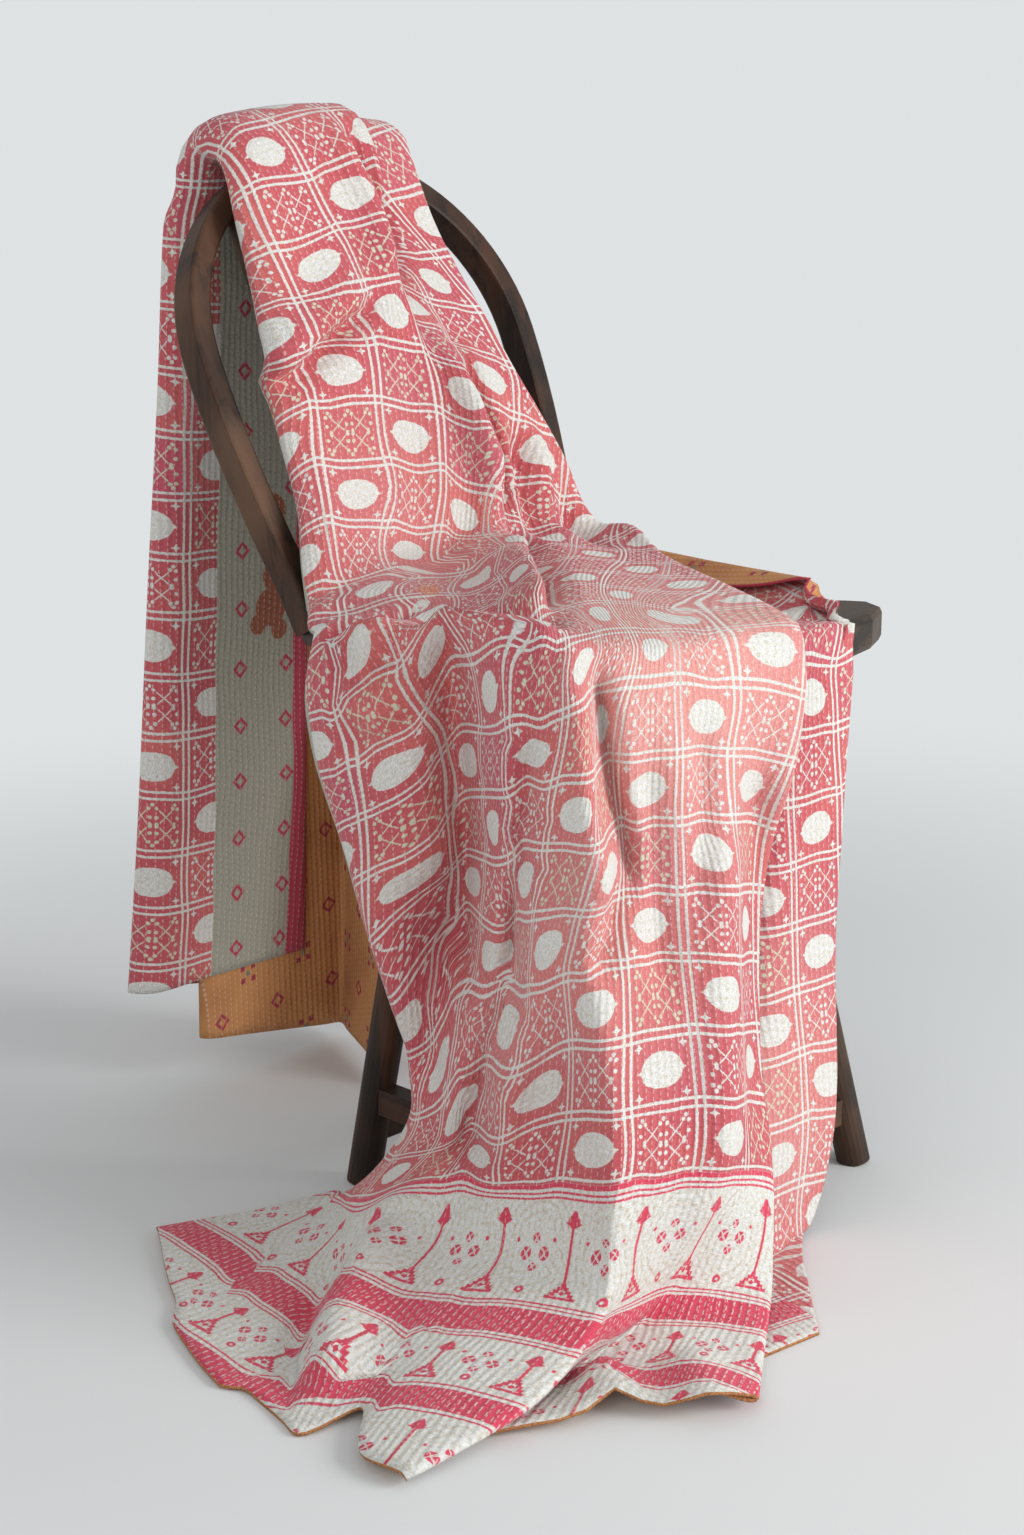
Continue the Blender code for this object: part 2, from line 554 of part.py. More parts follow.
def make_quilt(parts):
    grid = with_rows(quilt_sections())
    rows, columns = grid.shape[:2]
    faces = []
    for i in range(rows - 1):
        for k in range(columns - 1):
            a = i * columns + k
            faces.append((a, a + 1, a + columns + 1, a + columns))
    quilt = mesh_object("quilt", grid.reshape(-1, 3), faces)
    parts.objects.link(quilt)
    thick = quilt.modifiers.new("cloth", "SOLIDIFY")
    thick.thickness = CLOTH_THICK
    thick.offset = 0.0
    thick.use_rim = True
    thick.use_even_offset = False
    finish(quilt, parts, material("stitched_cotton", (0.62, 0.16, 0.19), 0.90))


def centre_on_floor(parts):
    """Moves every piece so that the whole object stands on z = 0 with its middle over the origin."""
    bpy.context.view_layer.update()
    graph = bpy.context.evaluated_depsgraph_get()
    low, high = np.full(3, np.inf), np.full(3, -np.inf)
    for obj in parts.objects:
        mesh = obj.evaluated_get(graph).to_mesh()
        points = np.empty(len(mesh.vertices) * 3)
        mesh.vertices.foreach_get("co", points)
        world = np.array(obj.matrix_world)
        points = points.reshape(-1, 3) @ world[:3, :3].T + world[:3, 3]
        low, high = np.minimum(low, points.min(axis=0)), np.maximum(high, points.max(axis=0))
        obj.evaluated_get(graph).to_mesh_clear()
    shift = Vector((-(low[0] + high[0]) / 2, -(low[1] + high[1]) / 2, -low[2]))
    for obj in bpy.data.objects:
        obj.location = obj.location + shift


def main():
    for obj in list(bpy.data.objects):
        bpy.data.objects.remove(obj)
    parts = bpy.data.collections.new("quilt_on_chair")
    cutters = bpy.data.collections.new("cutters")
    for collection in (parts, cutters):
        bpy.context.scene.collection.children.link(collection)
    make_chair(parts, cutters)
    make_quilt(parts)
    centre_on_floor(parts)


main()
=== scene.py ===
"""A hand-stitched quilt thrown over a hoop-back chair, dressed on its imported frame.

The quilt is one sheet on a grid of sections and lines. Its sections are those of the solid, drawn finer,
and the sheet is then laid out flat again by least squares, so that the printed pattern keeps its size in
every fold. Lengths are in metres, in the chair's own frame: the floor is z = 0 and the chair faces -Y.
"""

import math

import bpy
import numpy as np
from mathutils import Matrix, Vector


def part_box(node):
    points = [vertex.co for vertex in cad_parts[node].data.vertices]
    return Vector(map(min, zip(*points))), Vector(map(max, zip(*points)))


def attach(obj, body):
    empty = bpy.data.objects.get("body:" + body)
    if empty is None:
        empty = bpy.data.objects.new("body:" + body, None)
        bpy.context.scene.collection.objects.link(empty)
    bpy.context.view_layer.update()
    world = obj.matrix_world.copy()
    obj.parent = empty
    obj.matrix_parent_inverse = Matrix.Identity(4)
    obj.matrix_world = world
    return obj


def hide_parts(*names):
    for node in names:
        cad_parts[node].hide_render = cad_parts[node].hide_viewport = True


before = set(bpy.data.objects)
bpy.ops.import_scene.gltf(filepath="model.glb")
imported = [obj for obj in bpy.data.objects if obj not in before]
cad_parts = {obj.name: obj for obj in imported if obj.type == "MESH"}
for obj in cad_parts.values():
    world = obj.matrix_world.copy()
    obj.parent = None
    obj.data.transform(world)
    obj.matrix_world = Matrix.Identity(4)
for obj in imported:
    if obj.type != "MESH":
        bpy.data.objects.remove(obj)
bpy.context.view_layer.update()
SEAT_LOW, SEAT_HIGH = (np.array(corner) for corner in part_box("seat"))

# ---- the chair, about the middle of its feet ----
SEAT_TOP = 0.465
SEAT_REAR_Y = 0.212
BOW_RAKE = math.radians(24.5)
BOW_FOOT_Y = 0.182
BOW_WIDE_HALF = 0.178
BOW_WIDE_AT = 0.210
BOW_CREST = 0.370
CHAIR_AT = np.array([(SEAT_LOW[0] + SEAT_HIGH[0]) / 2, SEAT_HIGH[1] - SEAT_REAR_Y, SEAT_HIGH[2] - SEAT_TOP])

# ---- the quilt ----
CLOTH_THICK = 0.0025
FLOOR_GAP = 0.0002
LAYER_PITCH = 0.0046
# stand-off of the innermost layer's middle: on the lean, and over the bow; it widens toward the crest
REST = 0.0166
OVER_RADIUS = 0.0215
WIDEN_FROM = 0.2
WIDEN_REACH = 0.17
ARCH_FOLLOW = 0.45
HEM_BELOW = 0.1
SEAT_MIDDLE_Y = 0.02
FOLDS = ("edge", "near", "valley", "ridge", "lap", "far", "tuck", "panel", "selvedge")

# level of each strand of cloth at its two folds, counted outward from the chair
STACKED = ((0, 0), (6, 6), (5, 5), (4, 4), (4, 4), (3, 3), (1, 1), (2, 2))
SPREAD = ((0, 0), (6, 6), (5, 5), (4, 4), (4, 4), (3, 3), (1, 1), (1, 1))
FLAPPED = ((0, 0), (6, 6), (6, 5), (5, 5), (5, 5), (3, 3), (1, 1), (2, 2))
SETTLED = ((0, 0), (2, 5), (6, 5), (5, 5), (5, 5), (3, 3), (1, 1), (2, 2))
TIPPED = ((0, 0), (4, 6), (6, 5), (5, 5), (5, 5), (3, 3), (1, 1), (1, 1))
OPENED = ((0, 0), (6, 6), (6, 5), (5, 5), (5, 5), (3, 3), (1, 1), (1, 1))
TUCKED = ((0, 0), (1, 3), (3, 4), (3, 3), (2, 2), (1, 1), (0, 0), (0, 0))
FLOORED = ((0, 0), (1, 0), (0, 2), (1, 1), (0, 2), (1, 1), (0, 0), (0, 0))
# whether valley, ridge, lap and panel are folded (1) or let out (0)
PLEATED = {STACKED: (1, 1, 0, 1), SPREAD: (1, 1, 0, 0), FLAPPED: (0, 0, 0, 1), SETTLED: (0, 0, 0, 1),
           TIPPED: (0, 0, 0, 0), OPENED: (0, 0, 0, 0), TUCKED: (0, 1, 1, 0), FLOORED: (0, 1, 1, 0)}

FLUSH = (0, 0, 0, 0, 0)
# sections on the chair's back: where they lie, how far along (height z behind the chair; degrees over the
# bow; distance s up the back in front), stand-off y behind, how the layers lie, then for each line of
# FOLDS its x, and how far valley, ridge, lap, far and selvedge stand out beyond the layers under them
LAID = (
    ("hang", 0.070, 0.380, SPREAD, (0.012, -0.178, 0.040, -0.050, 0.000, 0.055, -0.105, 0.060, 0.000),
     (0, 0, 0, 0, -0.130)),
    ("hang", 0.250, 0.374, SPREAD, (0.012, -0.165, 0.042, -0.056, 0.000, 0.058, -0.105, 0.064, 0.032),
     (0, 0, 0, 0, -0.095)),
    ("hang", 0.450, 0.368, SPREAD, (0.014, -0.150, 0.044, -0.064, 0.000, 0.062, -0.100, 0.070, 0.074),
     (0, 0, 0, 0, -0.052)),
    ("hang", 0.640, 0.364, SPREAD, (0.034, -0.133, 0.042, -0.076, -0.005, 0.070, -0.098, 0.070, 0.094),
     (0, 0, 0, 0, -0.008)),
    ("hang", 0.710, 0.363, SPREAD, (0.044, -0.128, 0.040, -0.080, -0.007, 0.076, -0.097, 0.069, 0.072),
     (0, 0, 0, 0, 0.0065)),
    ("hang", 0.755, 0.362, STACKED, (0.052, -0.124, 0.038, -0.082, -0.008, 0.077, -0.097, 0.070, 0.061),
     FLUSH),
    ("over", 0.0, 0.0, STACKED, (0.062, -0.120, 0.034, -0.084, -0.010, 0.080, -0.096, 0.072, 0.032), FLUSH),
    ("over", 20.0, 0.0, STACKED, (0.063, -0.121, 0.033, -0.085, -0.010, 0.080, -0.096, 0.072, 0.032), FLUSH),
    ("over", 40.0, 0.0, STACKED, (0.064, -0.122, 0.032, -0.085, -0.010, 0.080, -0.096, 0.072, 0.032), FLUSH),
    ("over", 60.0, 0.0, STACKED, (0.065, -0.122, 0.031, -0.085, -0.010, 0.080, -0.097, 0.072, 0.032), FLUSH),
    ("over", 80.0, 0.0, STACKED, (0.066, -0.123, 0.030, -0.085, -0.010, 0.080, -0.097, 0.072, 0.032), FLUSH),
    ("over", 100.0, 0.0, STACKED, (0.066, -0.123, 0.029, -0.084, -0.009, 0.080, -0.097, 0.071, 0.031), FLUSH),
    ("over", 120.0, 0.0, STACKED, (0.066, -0.124, 0.028, -0.083, -0.008, 0.079, -0.097, 0.071, 0.031), FLUSH),
    ("over", 138.0, 0.0, STACKED, (0.066, -0.124, 0.028, -0.081, -0.006, 0.078, -0.097, 0.070, 0.030), FLUSH),
    ("over", 155.5, 0.0, STACKED, (0.065, -0.125, 0.028, -0.078, -0.004, 0.076, -0.097, 0.068, 0.028), FLUSH),
    ("lean", 0.310, 0.0, STACKED, (0.060, -0.128, 0.026, -0.050, 0.010, 0.080, -0.098, 0.071, 0.031), FLUSH),
    ("lean", 0.255, 0.0, STACKED, (0.056, -0.132, 0.016, 0.007, 0.042, 0.094, -0.100, 0.084, 0.044), FLUSH),
    ("lean", 0.215, 0.0, FLAPPED, (0.052, -0.139, 0.008, 0.018, 0.064, 0.106, -0.100, 0.094, 0.054),
     (0.005, 0.002, 0.000, 0.000, 0)),
    ("lean", 0.165, 0.0, FLAPPED, (0.045, -0.147, -0.010, 0.046, 0.088, 0.120, -0.100, 0.106, 0.066),
     (0.001, 0.018, 0.007, 0.001, 0)),
    ("lean", 0.080, 0.0, FLAPPED, (0.036, -0.152, -0.030, 0.040, 0.095, 0.146, -0.082, 0.132, 0.092),
     (-0.004, 0.024, 0.006, 0.002, 0)),
    ("lean", 0.030, 0.0, FLAPPED, (0.035, -0.166, -0.045, 0.036, 0.096, 0.153, -0.078, 0.140, 0.100),
     (-0.006, 0.022, 0.005, 0.002, 0)),
)
# height of the hem behind the chair at each line: the pieced layers don't hang level
HEM_HEIGHT = (0.098, 0.100, 0.060, 0.070, 0.055, 0.030, 0.040, 0.012, 0.010)

# sections out from the chair's back: name, whether outward is to the front, round the seat's middle or up
# from the floor, its tilt above level in degrees, how the layers lie, belly of the near, corner and front
# strands, then x, y, z of the innermost cloth at each line, before the levels are added
OPEN = (
    ("seat_back", "front", 68.0, SETTLED, (0.004, 0.006, 0.000), (
        (0.034, 0.150, 0.4745), (-0.182, 0.146, 0.4740), (-0.060, 0.146, 0.4730), (0.030, 0.138, 0.4900),
        (0.095, 0.144, 0.4790), (0.160, 0.148, 0.4745), (-0.078, 0.148, 0.4740), (0.145, 0.150, 0.4740),
        (0.104, 0.148, 0.4740))),
    ("seat_mid", "round", 90.0, SETTLED, (0.006, 0.006, 0.000), (
        (0.000, 0.045, 0.4695), (-0.206, 0.112, 0.4735), (-0.130, 0.020, 0.4650),
        (-0.075, -0.030, 0.4830), (0.010, -0.025, 0.4740), (0.090, 0.000, 0.4710),
        (-0.085, 0.010, 0.4695), (0.128, -0.005, 0.4700), (0.090, -0.020, 0.4710))),
    ("brink", "round", 40.0, TIPPED, (0.006, 0.000, 0.000), (
        (-0.196, -0.085, 0.4700), (-0.200, 0.100, 0.4700), (-0.200, -0.020, 0.4700),
        (-0.200, -0.145, 0.4760), (-0.110, -0.166, 0.4720), (0.000, -0.172, 0.4710),
        (-0.120, -0.164, 0.4700), (0.096, -0.164, 0.4700), (0.108, -0.170, 0.4920))),
    ("edge", "round", 6.0, OPENED, (0.010, -0.004, 0.000), (
        (-0.200, -0.075, 0.4330), (-0.201, 0.100, 0.4250), (-0.198, -0.020, 0.4350),
        (-0.205, -0.148, 0.4500), (-0.116, -0.172, 0.4420), (-0.008, -0.183, 0.4420),
        (-0.125, -0.170, 0.4330), (0.060, -0.173, 0.4420), (0.084, -0.172, 0.4420))),
    ("drop", "round", 0.0, OPENED, (0.018, -0.006, 0.002), (
        (-0.188, -0.105, 0.2700), (-0.199, 0.060, 0.2800), (-0.174, -0.023, 0.2850),
        (-0.208, -0.167, 0.3100), (-0.124, -0.191, 0.2900), (-0.046, -0.194, 0.2850),
        (-0.155, -0.183, 0.2700), (0.038, -0.174, 0.2620), (0.069, -0.174, 0.2560))),
    ("low", "round", 10.0, OPENED, (0.006, -0.004, 0.004), (
        (-0.188, -0.075, 0.0950), (-0.181, 0.018, 0.1080), (-0.199, -0.072, 0.1110),
        (-0.223, -0.209, 0.1410), (-0.153, -0.229, 0.1080), (-0.075, -0.223, 0.0960),
        (-0.174, -0.202, 0.0890), (0.004, -0.194, 0.0890), (0.045, -0.196, 0.0740))),
    ("floor_in", "round", 60.0, TUCKED, (0.000, 0.010, 0.004), (
        (-0.168, 0.000, 0.0060), (-0.193, 0.095, 0.0120), (-0.256, 0.000, 0.0220),
        (-0.250, -0.228, 0.0300), (-0.187, -0.219, 0.0150), (-0.103, -0.257, 0.0180),
        (-0.179, -0.223, 0.0090), (-0.030, -0.210, 0.0040), (0.012, -0.203, 0.0060))),
    ("floor_mid", "floor", 90.0, FLOORED, (0.010, 0.010, 0.003), (
        (-0.230, 0.040, 0.0016), (-0.266, 0.136, 0.0014), (-0.378, -0.070, 0.0050),
        (-0.364, -0.256, 0.0110), (-0.310, -0.226, 0.0022), (-0.170, -0.306, 0.0016),
        (-0.225, -0.262, 0.0015), (-0.095, -0.262, 0.0014), (-0.054, -0.256, 0.0016))),
    ("hem", "floor", 90.0, FLOORED, (0.018, 0.002, 0.003), (
        (-0.295, 0.090, 0.0013), (-0.334, 0.164, 0.0013), (-0.468, -0.152, 0.0018),
        (-0.463, -0.250, 0.0013), (-0.424, -0.214, 0.0013), (-0.228, -0.347, 0.0013),
        (-0.262, -0.292, 0.0013), (-0.152, -0.306, 0.0013), (-0.112, -0.311, 0.0013))),
)
# points of a strand, as fractions across it; a fold's half width where it is let out, the least one, and
# the largest share of a strand that a fold takes
STRAND_STOPS = (0.0, 1 / 3, 2 / 3, 1.0)
STRAND_COLUMNS = len(STRAND_STOPS) + 1
ROUND_OPEN = 0.022
ROUND_LEAST = 0.003
ROUND_SHARE = 0.3
MM = 1000.0
# one cell of the print between two paired lines, across and along, in millimetres on the flat cloth
CELL_U = 60.0
CELL_V = 51.0
# where the print lies: strand, fraction across it and section number, measured with rays through places in
# the photo, then the paired line across and along that crosses there
PATTERN_PINS = (
    # the front panel and its foot
    (2, 1.52, 26.00, 10, 0), (3, 1.19, 25.85, 11, 0), (2, 0.69, 26.10, 9, 0), (2, 0.24, 26.28, 8, 0),
    (1, 1.14, 26.44, 7, 0), (2, 0.03, 25.87, 8, 1), (2, 0.19, 25.55, 8, 2), (2, 0.47, 25.29, 8, 3),
    (2, 0.63, 25.00, 8, 4), (2, 0.79, 24.70, 8, 5), (2, 0.97, 24.38, 8, 6), (2, 1.17, 23.87, 8, 7),
    (2, 1.29, 23.08, 8, 8), (3, 0.05, 25.15, 10, 3), (3, 1.10, 25.10, 11, 3), (2, 0.87, 25.22, 9, 3),
    (3, 0.24, 24.29, 10, 6), (3, 0.20, 24.64, 10, 5), (3, 0.18, 24.89, 10, 4), (3, 1.23, 24.25, 11, 6),
    (3, 1.23, 24.58, 11, 5), (3, 1.25, 24.84, 11, 4), (3, 1.16, 23.61, 11, 7), (4, 0.24, 23.90, 12, 7),
    (4, 0.03, 24.35, 12, 6), (3, 1.63, 24.64, 12, 5), (4, 0.02, 23.08, 12, 8), (3, 1.25, 22.41, 12, 9),
    # round the knee on the left
    (2, 0.61, 24.01, 7, 7), (2, 0.86, 23.44, 7, 8), (1, 0.97, 26.00, 7, 1), (1, 1.50, 21.49, 6, 12),
    (2, 0.31, 23.71, 6, 8), (2, 0.28, 24.22, 6, 7), (2, 0.25, 24.55, 6, 6), (2, 0.23, 24.80, 6, 5),
    (2, 0.32, 25.13, 6, 4), (1, 0.79, 21.42, 5, 12), (1, 0.81, 22.30, 5, 11), (1, 1.07, 23.82, 5, 9),
    (1, 0.30, 20.84, 4, 12), (1, 0.29, 22.56, 4, 11), (1, 0.49, 23.62, 4, 10), (1, 0.48, 24.09, 4, 9),
    (1, 0.66, 24.41, 4, 8),
    # the lean and the crest
    (1, 0.07, 19.36, 4, 13), (1, 0.83, 19.44, 5, 13), (1, 1.66, 19.53, 6, 13), (1, 0.02, 18.64, 4, 14),
    (1, 0.76, 18.73, 5, 14), (1, 0.15, 18.09, 4, 15), (1, 0.73, 18.14, 5, 15), (1, 0.76, 17.22, 5, 16),
    (1, 0.16, 16.66, 4, 17), (1, 0.67, 15.99, 5, 17), (1, 0.53, 15.16, 5, 18), (1, 0.01, 15.49, 4, 18),
    (1, 0.42, 14.56, 5, 19), (1, 0.28, 12.30, 5, 20),
    # the right panel
    (6, 0.95, 24.84, 18, 5), (6, 1.19, 25.33, 18, 3), (6, 1.57, 25.85, 18, 1), (6, 0.89, 24.65, 18, 6),
    (6, 1.13, 23.99, 19, 8), (6, 1.62, 24.41, 19, 7), (7, 0.59, 24.65, 19, 6),
    # the lobes on the floor
    (1, 0.29, 28.19, 4.1, -2.24), (1, 0.63, 27.91, 5.1, -2.24), (1, 1.08, 28.00, 6.2, -2.24),
    (2, 0.07, 27.59, 6.9, -2.24), (2, 0.26, 27.60, 7.5, -2.24), (2, 0.47, 27.71, 8.2, -2.24),
    (2, 0.11, 28.42, 7.7, -4.14), (2, 0.57, 28.25, 8.7, -4.14), (2, 0.72, 28.24, 9.3, -4.14),
    # the hang behind the chair
    (0, 0.97, 2.61, 4, 26), (0, 0.91, 2.14, 4, 28), (0, 0.83, 1.11, 4, 32), (0, 0.80, 0.38, 4, 34.3),
    (0, 0.00, 2.61, 1.78, 26), (0, 0.00, 1.11, 1.78, 32),
)
PIN_HOLD = 5.0
FLATTEN_ROUNDS = 40
# stiffness of the sheet while it is laid out flat, where 1 is the cloth in view: out of sight, on the seat
HIDDEN_KEEP = 0.03
SEAT_KEEP = 0.5
SEAT_ROWS = (20.4, 23.2)
# the cloth that is out of sight: strand, and the sections between which it is
OUT_OF_SIGHT = ((0, 8.0, math.inf), (3, -1.0, 15.5), (3, 26.5, math.inf), (5, -1.0, math.inf))
# how the first strand hangs behind the others: push (x, y, z), the sections over which it comes and goes,
# the column where it ends and the columns over which it fades
SET_BACK = (0.022, 0.018, 0.0)
SET_BACK_FROM = 22.3
SET_BACK_TO = 27.0
SET_BACK_COLUMN = 4.5
SET_BACK_FADE = 2.0
# spacing of the grid's rows and columns: while it is laid out flat, then in the finished mesh
COARSE_STEP = 0.040
MIDDLE_COLUMN = 0.024
FINE_ROW = 0.0100
FINE_COLUMN = 0.0068
WIDE_CHORD = 0.85
TINY = 1e-7


def unit(vector):
    return vector / np.linalg.norm(vector)


def bow_point(x, s):
    """A point of the bow's leaning plane, x across and s up it from the seat top."""
    return np.array([x, BOW_FOOT_Y + s * math.sin(BOW_RAKE), SEAT_TOP + s * math.cos(BOW_RAKE)])


LEAN_OUT = np.array([0.0, -math.cos(BOW_RAKE), math.sin(BOW_RAKE)])


def arch_drop(x):
    """How far the bow's crest lies below its middle at this x."""
    half = BOW_CREST - BOW_WIDE_AT
    return half * (1 - math.sqrt(max(0.0, 1 - (x / BOW_WIDE_HALF) ** 2)))


def mean_levels(levels):
    """The level of each line: halfway between the strands on its two sides."""
    first, last = levels[0][0], levels[-1][1]
    between = [(before[1] + after[0]) / 2 for before, after in zip(levels[:-1], levels[1:])]
    return [first] + between + [last]


def laid_place(kind, along, stand, xs, rises):
    """Gives the point of a section on the chair: strand, fraction of the way along it, level."""
    rise = (0.0, 0.0) + tuple(rises[:4]) + (0.0, 0.0, rises[4])

    def place(k, f, level, swell):
        x = xs[k] + (xs[k + 1] - xs[k]) * f
        up = level * LAYER_PITCH + swell + rise[k] + (rise[k + 1] - rise[k]) * f
        if kind == "hang":
            hem = HEM_HEIGHT[k] + (HEM_HEIGHT[k + 1] - HEM_HEIGHT[k]) * f
            return np.array([x, stand + up, hem if along < HEM_BELOW else along])
        if kind == "over":
            turn = math.radians(along)
            crest = bow_point(x, BOW_CREST - ARCH_FOLLOW * arch_drop(x))
            return crest + np.array([0.0, math.cos(turn), math.sin(turn)]) * (OVER_RADIUS + up)
        stand_off = REST + (OVER_RADIUS - REST) * max(0.0, (along - WIDEN_FROM) / WIDEN_REACH)
        return bow_point(x, along) + LEAN_OUT * (stand_off + up)

    lengths = [math.hypot(xs[k + 1] - xs[k], rise[k + 1] - rise[k]) for k in range(len(xs) - 1)]
    return place, lengths


def open_place(facing, tilt, corners):
    """The same for a section away from the back: outward is away from the seat's middle, tilted up."""
    corners = [np.array(corner) for corner in corners]
    turn = math.radians(tilt)
    run_x, run_y, _ = corners[2] - corners[1]
    out_x, out_y = run_y, -run_x
    outs = []
    for corner in corners:
        level = unit(np.array([corner[0], corner[1] - SEAT_MIDDLE_Y, 0.0]))
        if facing == "front":
            level = np.array([0.0, -1.0, 0.0])
        outs.append(level * math.cos(turn) + np.array([0.0, 0.0, 1.0]) * math.sin(turn))

    def place(k, f, level, swell):
        out = unit(outs[k] + (outs[k + 1] - outs[k]) * f)
        bulge = out
        if facing == "floor" and k == 1:
            bulge = unit(np.array([out_x, out_y, 0.0]))
        return corners[k] + (corners[k + 1] - corners[k]) * f + out * level * LAYER_PITCH + bulge * swell

    lengths = [float(np.linalg.norm(b - a)) for a, b in zip(corners[:-1], corners[1:])]
    return place, lengths


def section(place, lengths, levels, bellies=(0.0, 0.0, 0.0)):
    """The section as one run of points: each strand straight but for its belly, each fold rounded."""
    means = mean_levels(levels)
    last = len(levels)
    folded = PLEATED[levels]
    sharp = (1, 1, folded[0], folded[1], folded[2], 1, 1, folded[3], 1)
    belly = {1: bellies[0], 2: bellies[1], 4: bellies[2]}
    run = []
    for k, (low, high) in enumerate(levels):
        start, end = 0.0, 1.0
        for j, level in ((k, low), (k + 1, high)):
            if j in (0, last):
                continue
            back = abs(level - means[j]) * LAYER_PITCH if sharp[j] else ROUND_OPEN
            share = min(ROUND_SHARE, max(back, ROUND_LEAST) / lengths[k])
            if j == k:
                start = share
            else:
                end = 1.0 - share
        low = low if sharp[k] else means[k]
        high = high if sharp[k + 1] else means[k + 1]
        for f in STRAND_STOPS:
            swell = belly.get(k, 0.0) * 4 * f * (1 - f)
            run.append(place(k, start + (end - start) * f, low + (high - low) * f, swell))
        if k + 1 < last:
            run.append(place(k, 1.0, means[k + 1], 0.0))
    return np.array(run)


def quilt_sections():
    """All sections from the hem behind the chair to the hem in front, one row of points each."""
    rows = []
    for kind, along, stand, levels, xs, rises in LAID:
        place, lengths = laid_place(kind, along, stand, xs, rises)
        rows.append(section(place, lengths, levels))
    for _, facing, tilt, levels, bellies, corners in OPEN:
        place, lengths = open_place(facing, tilt, corners)
        rows.append(section(place, lengths, levels, bellies))
    return np.array(rows)


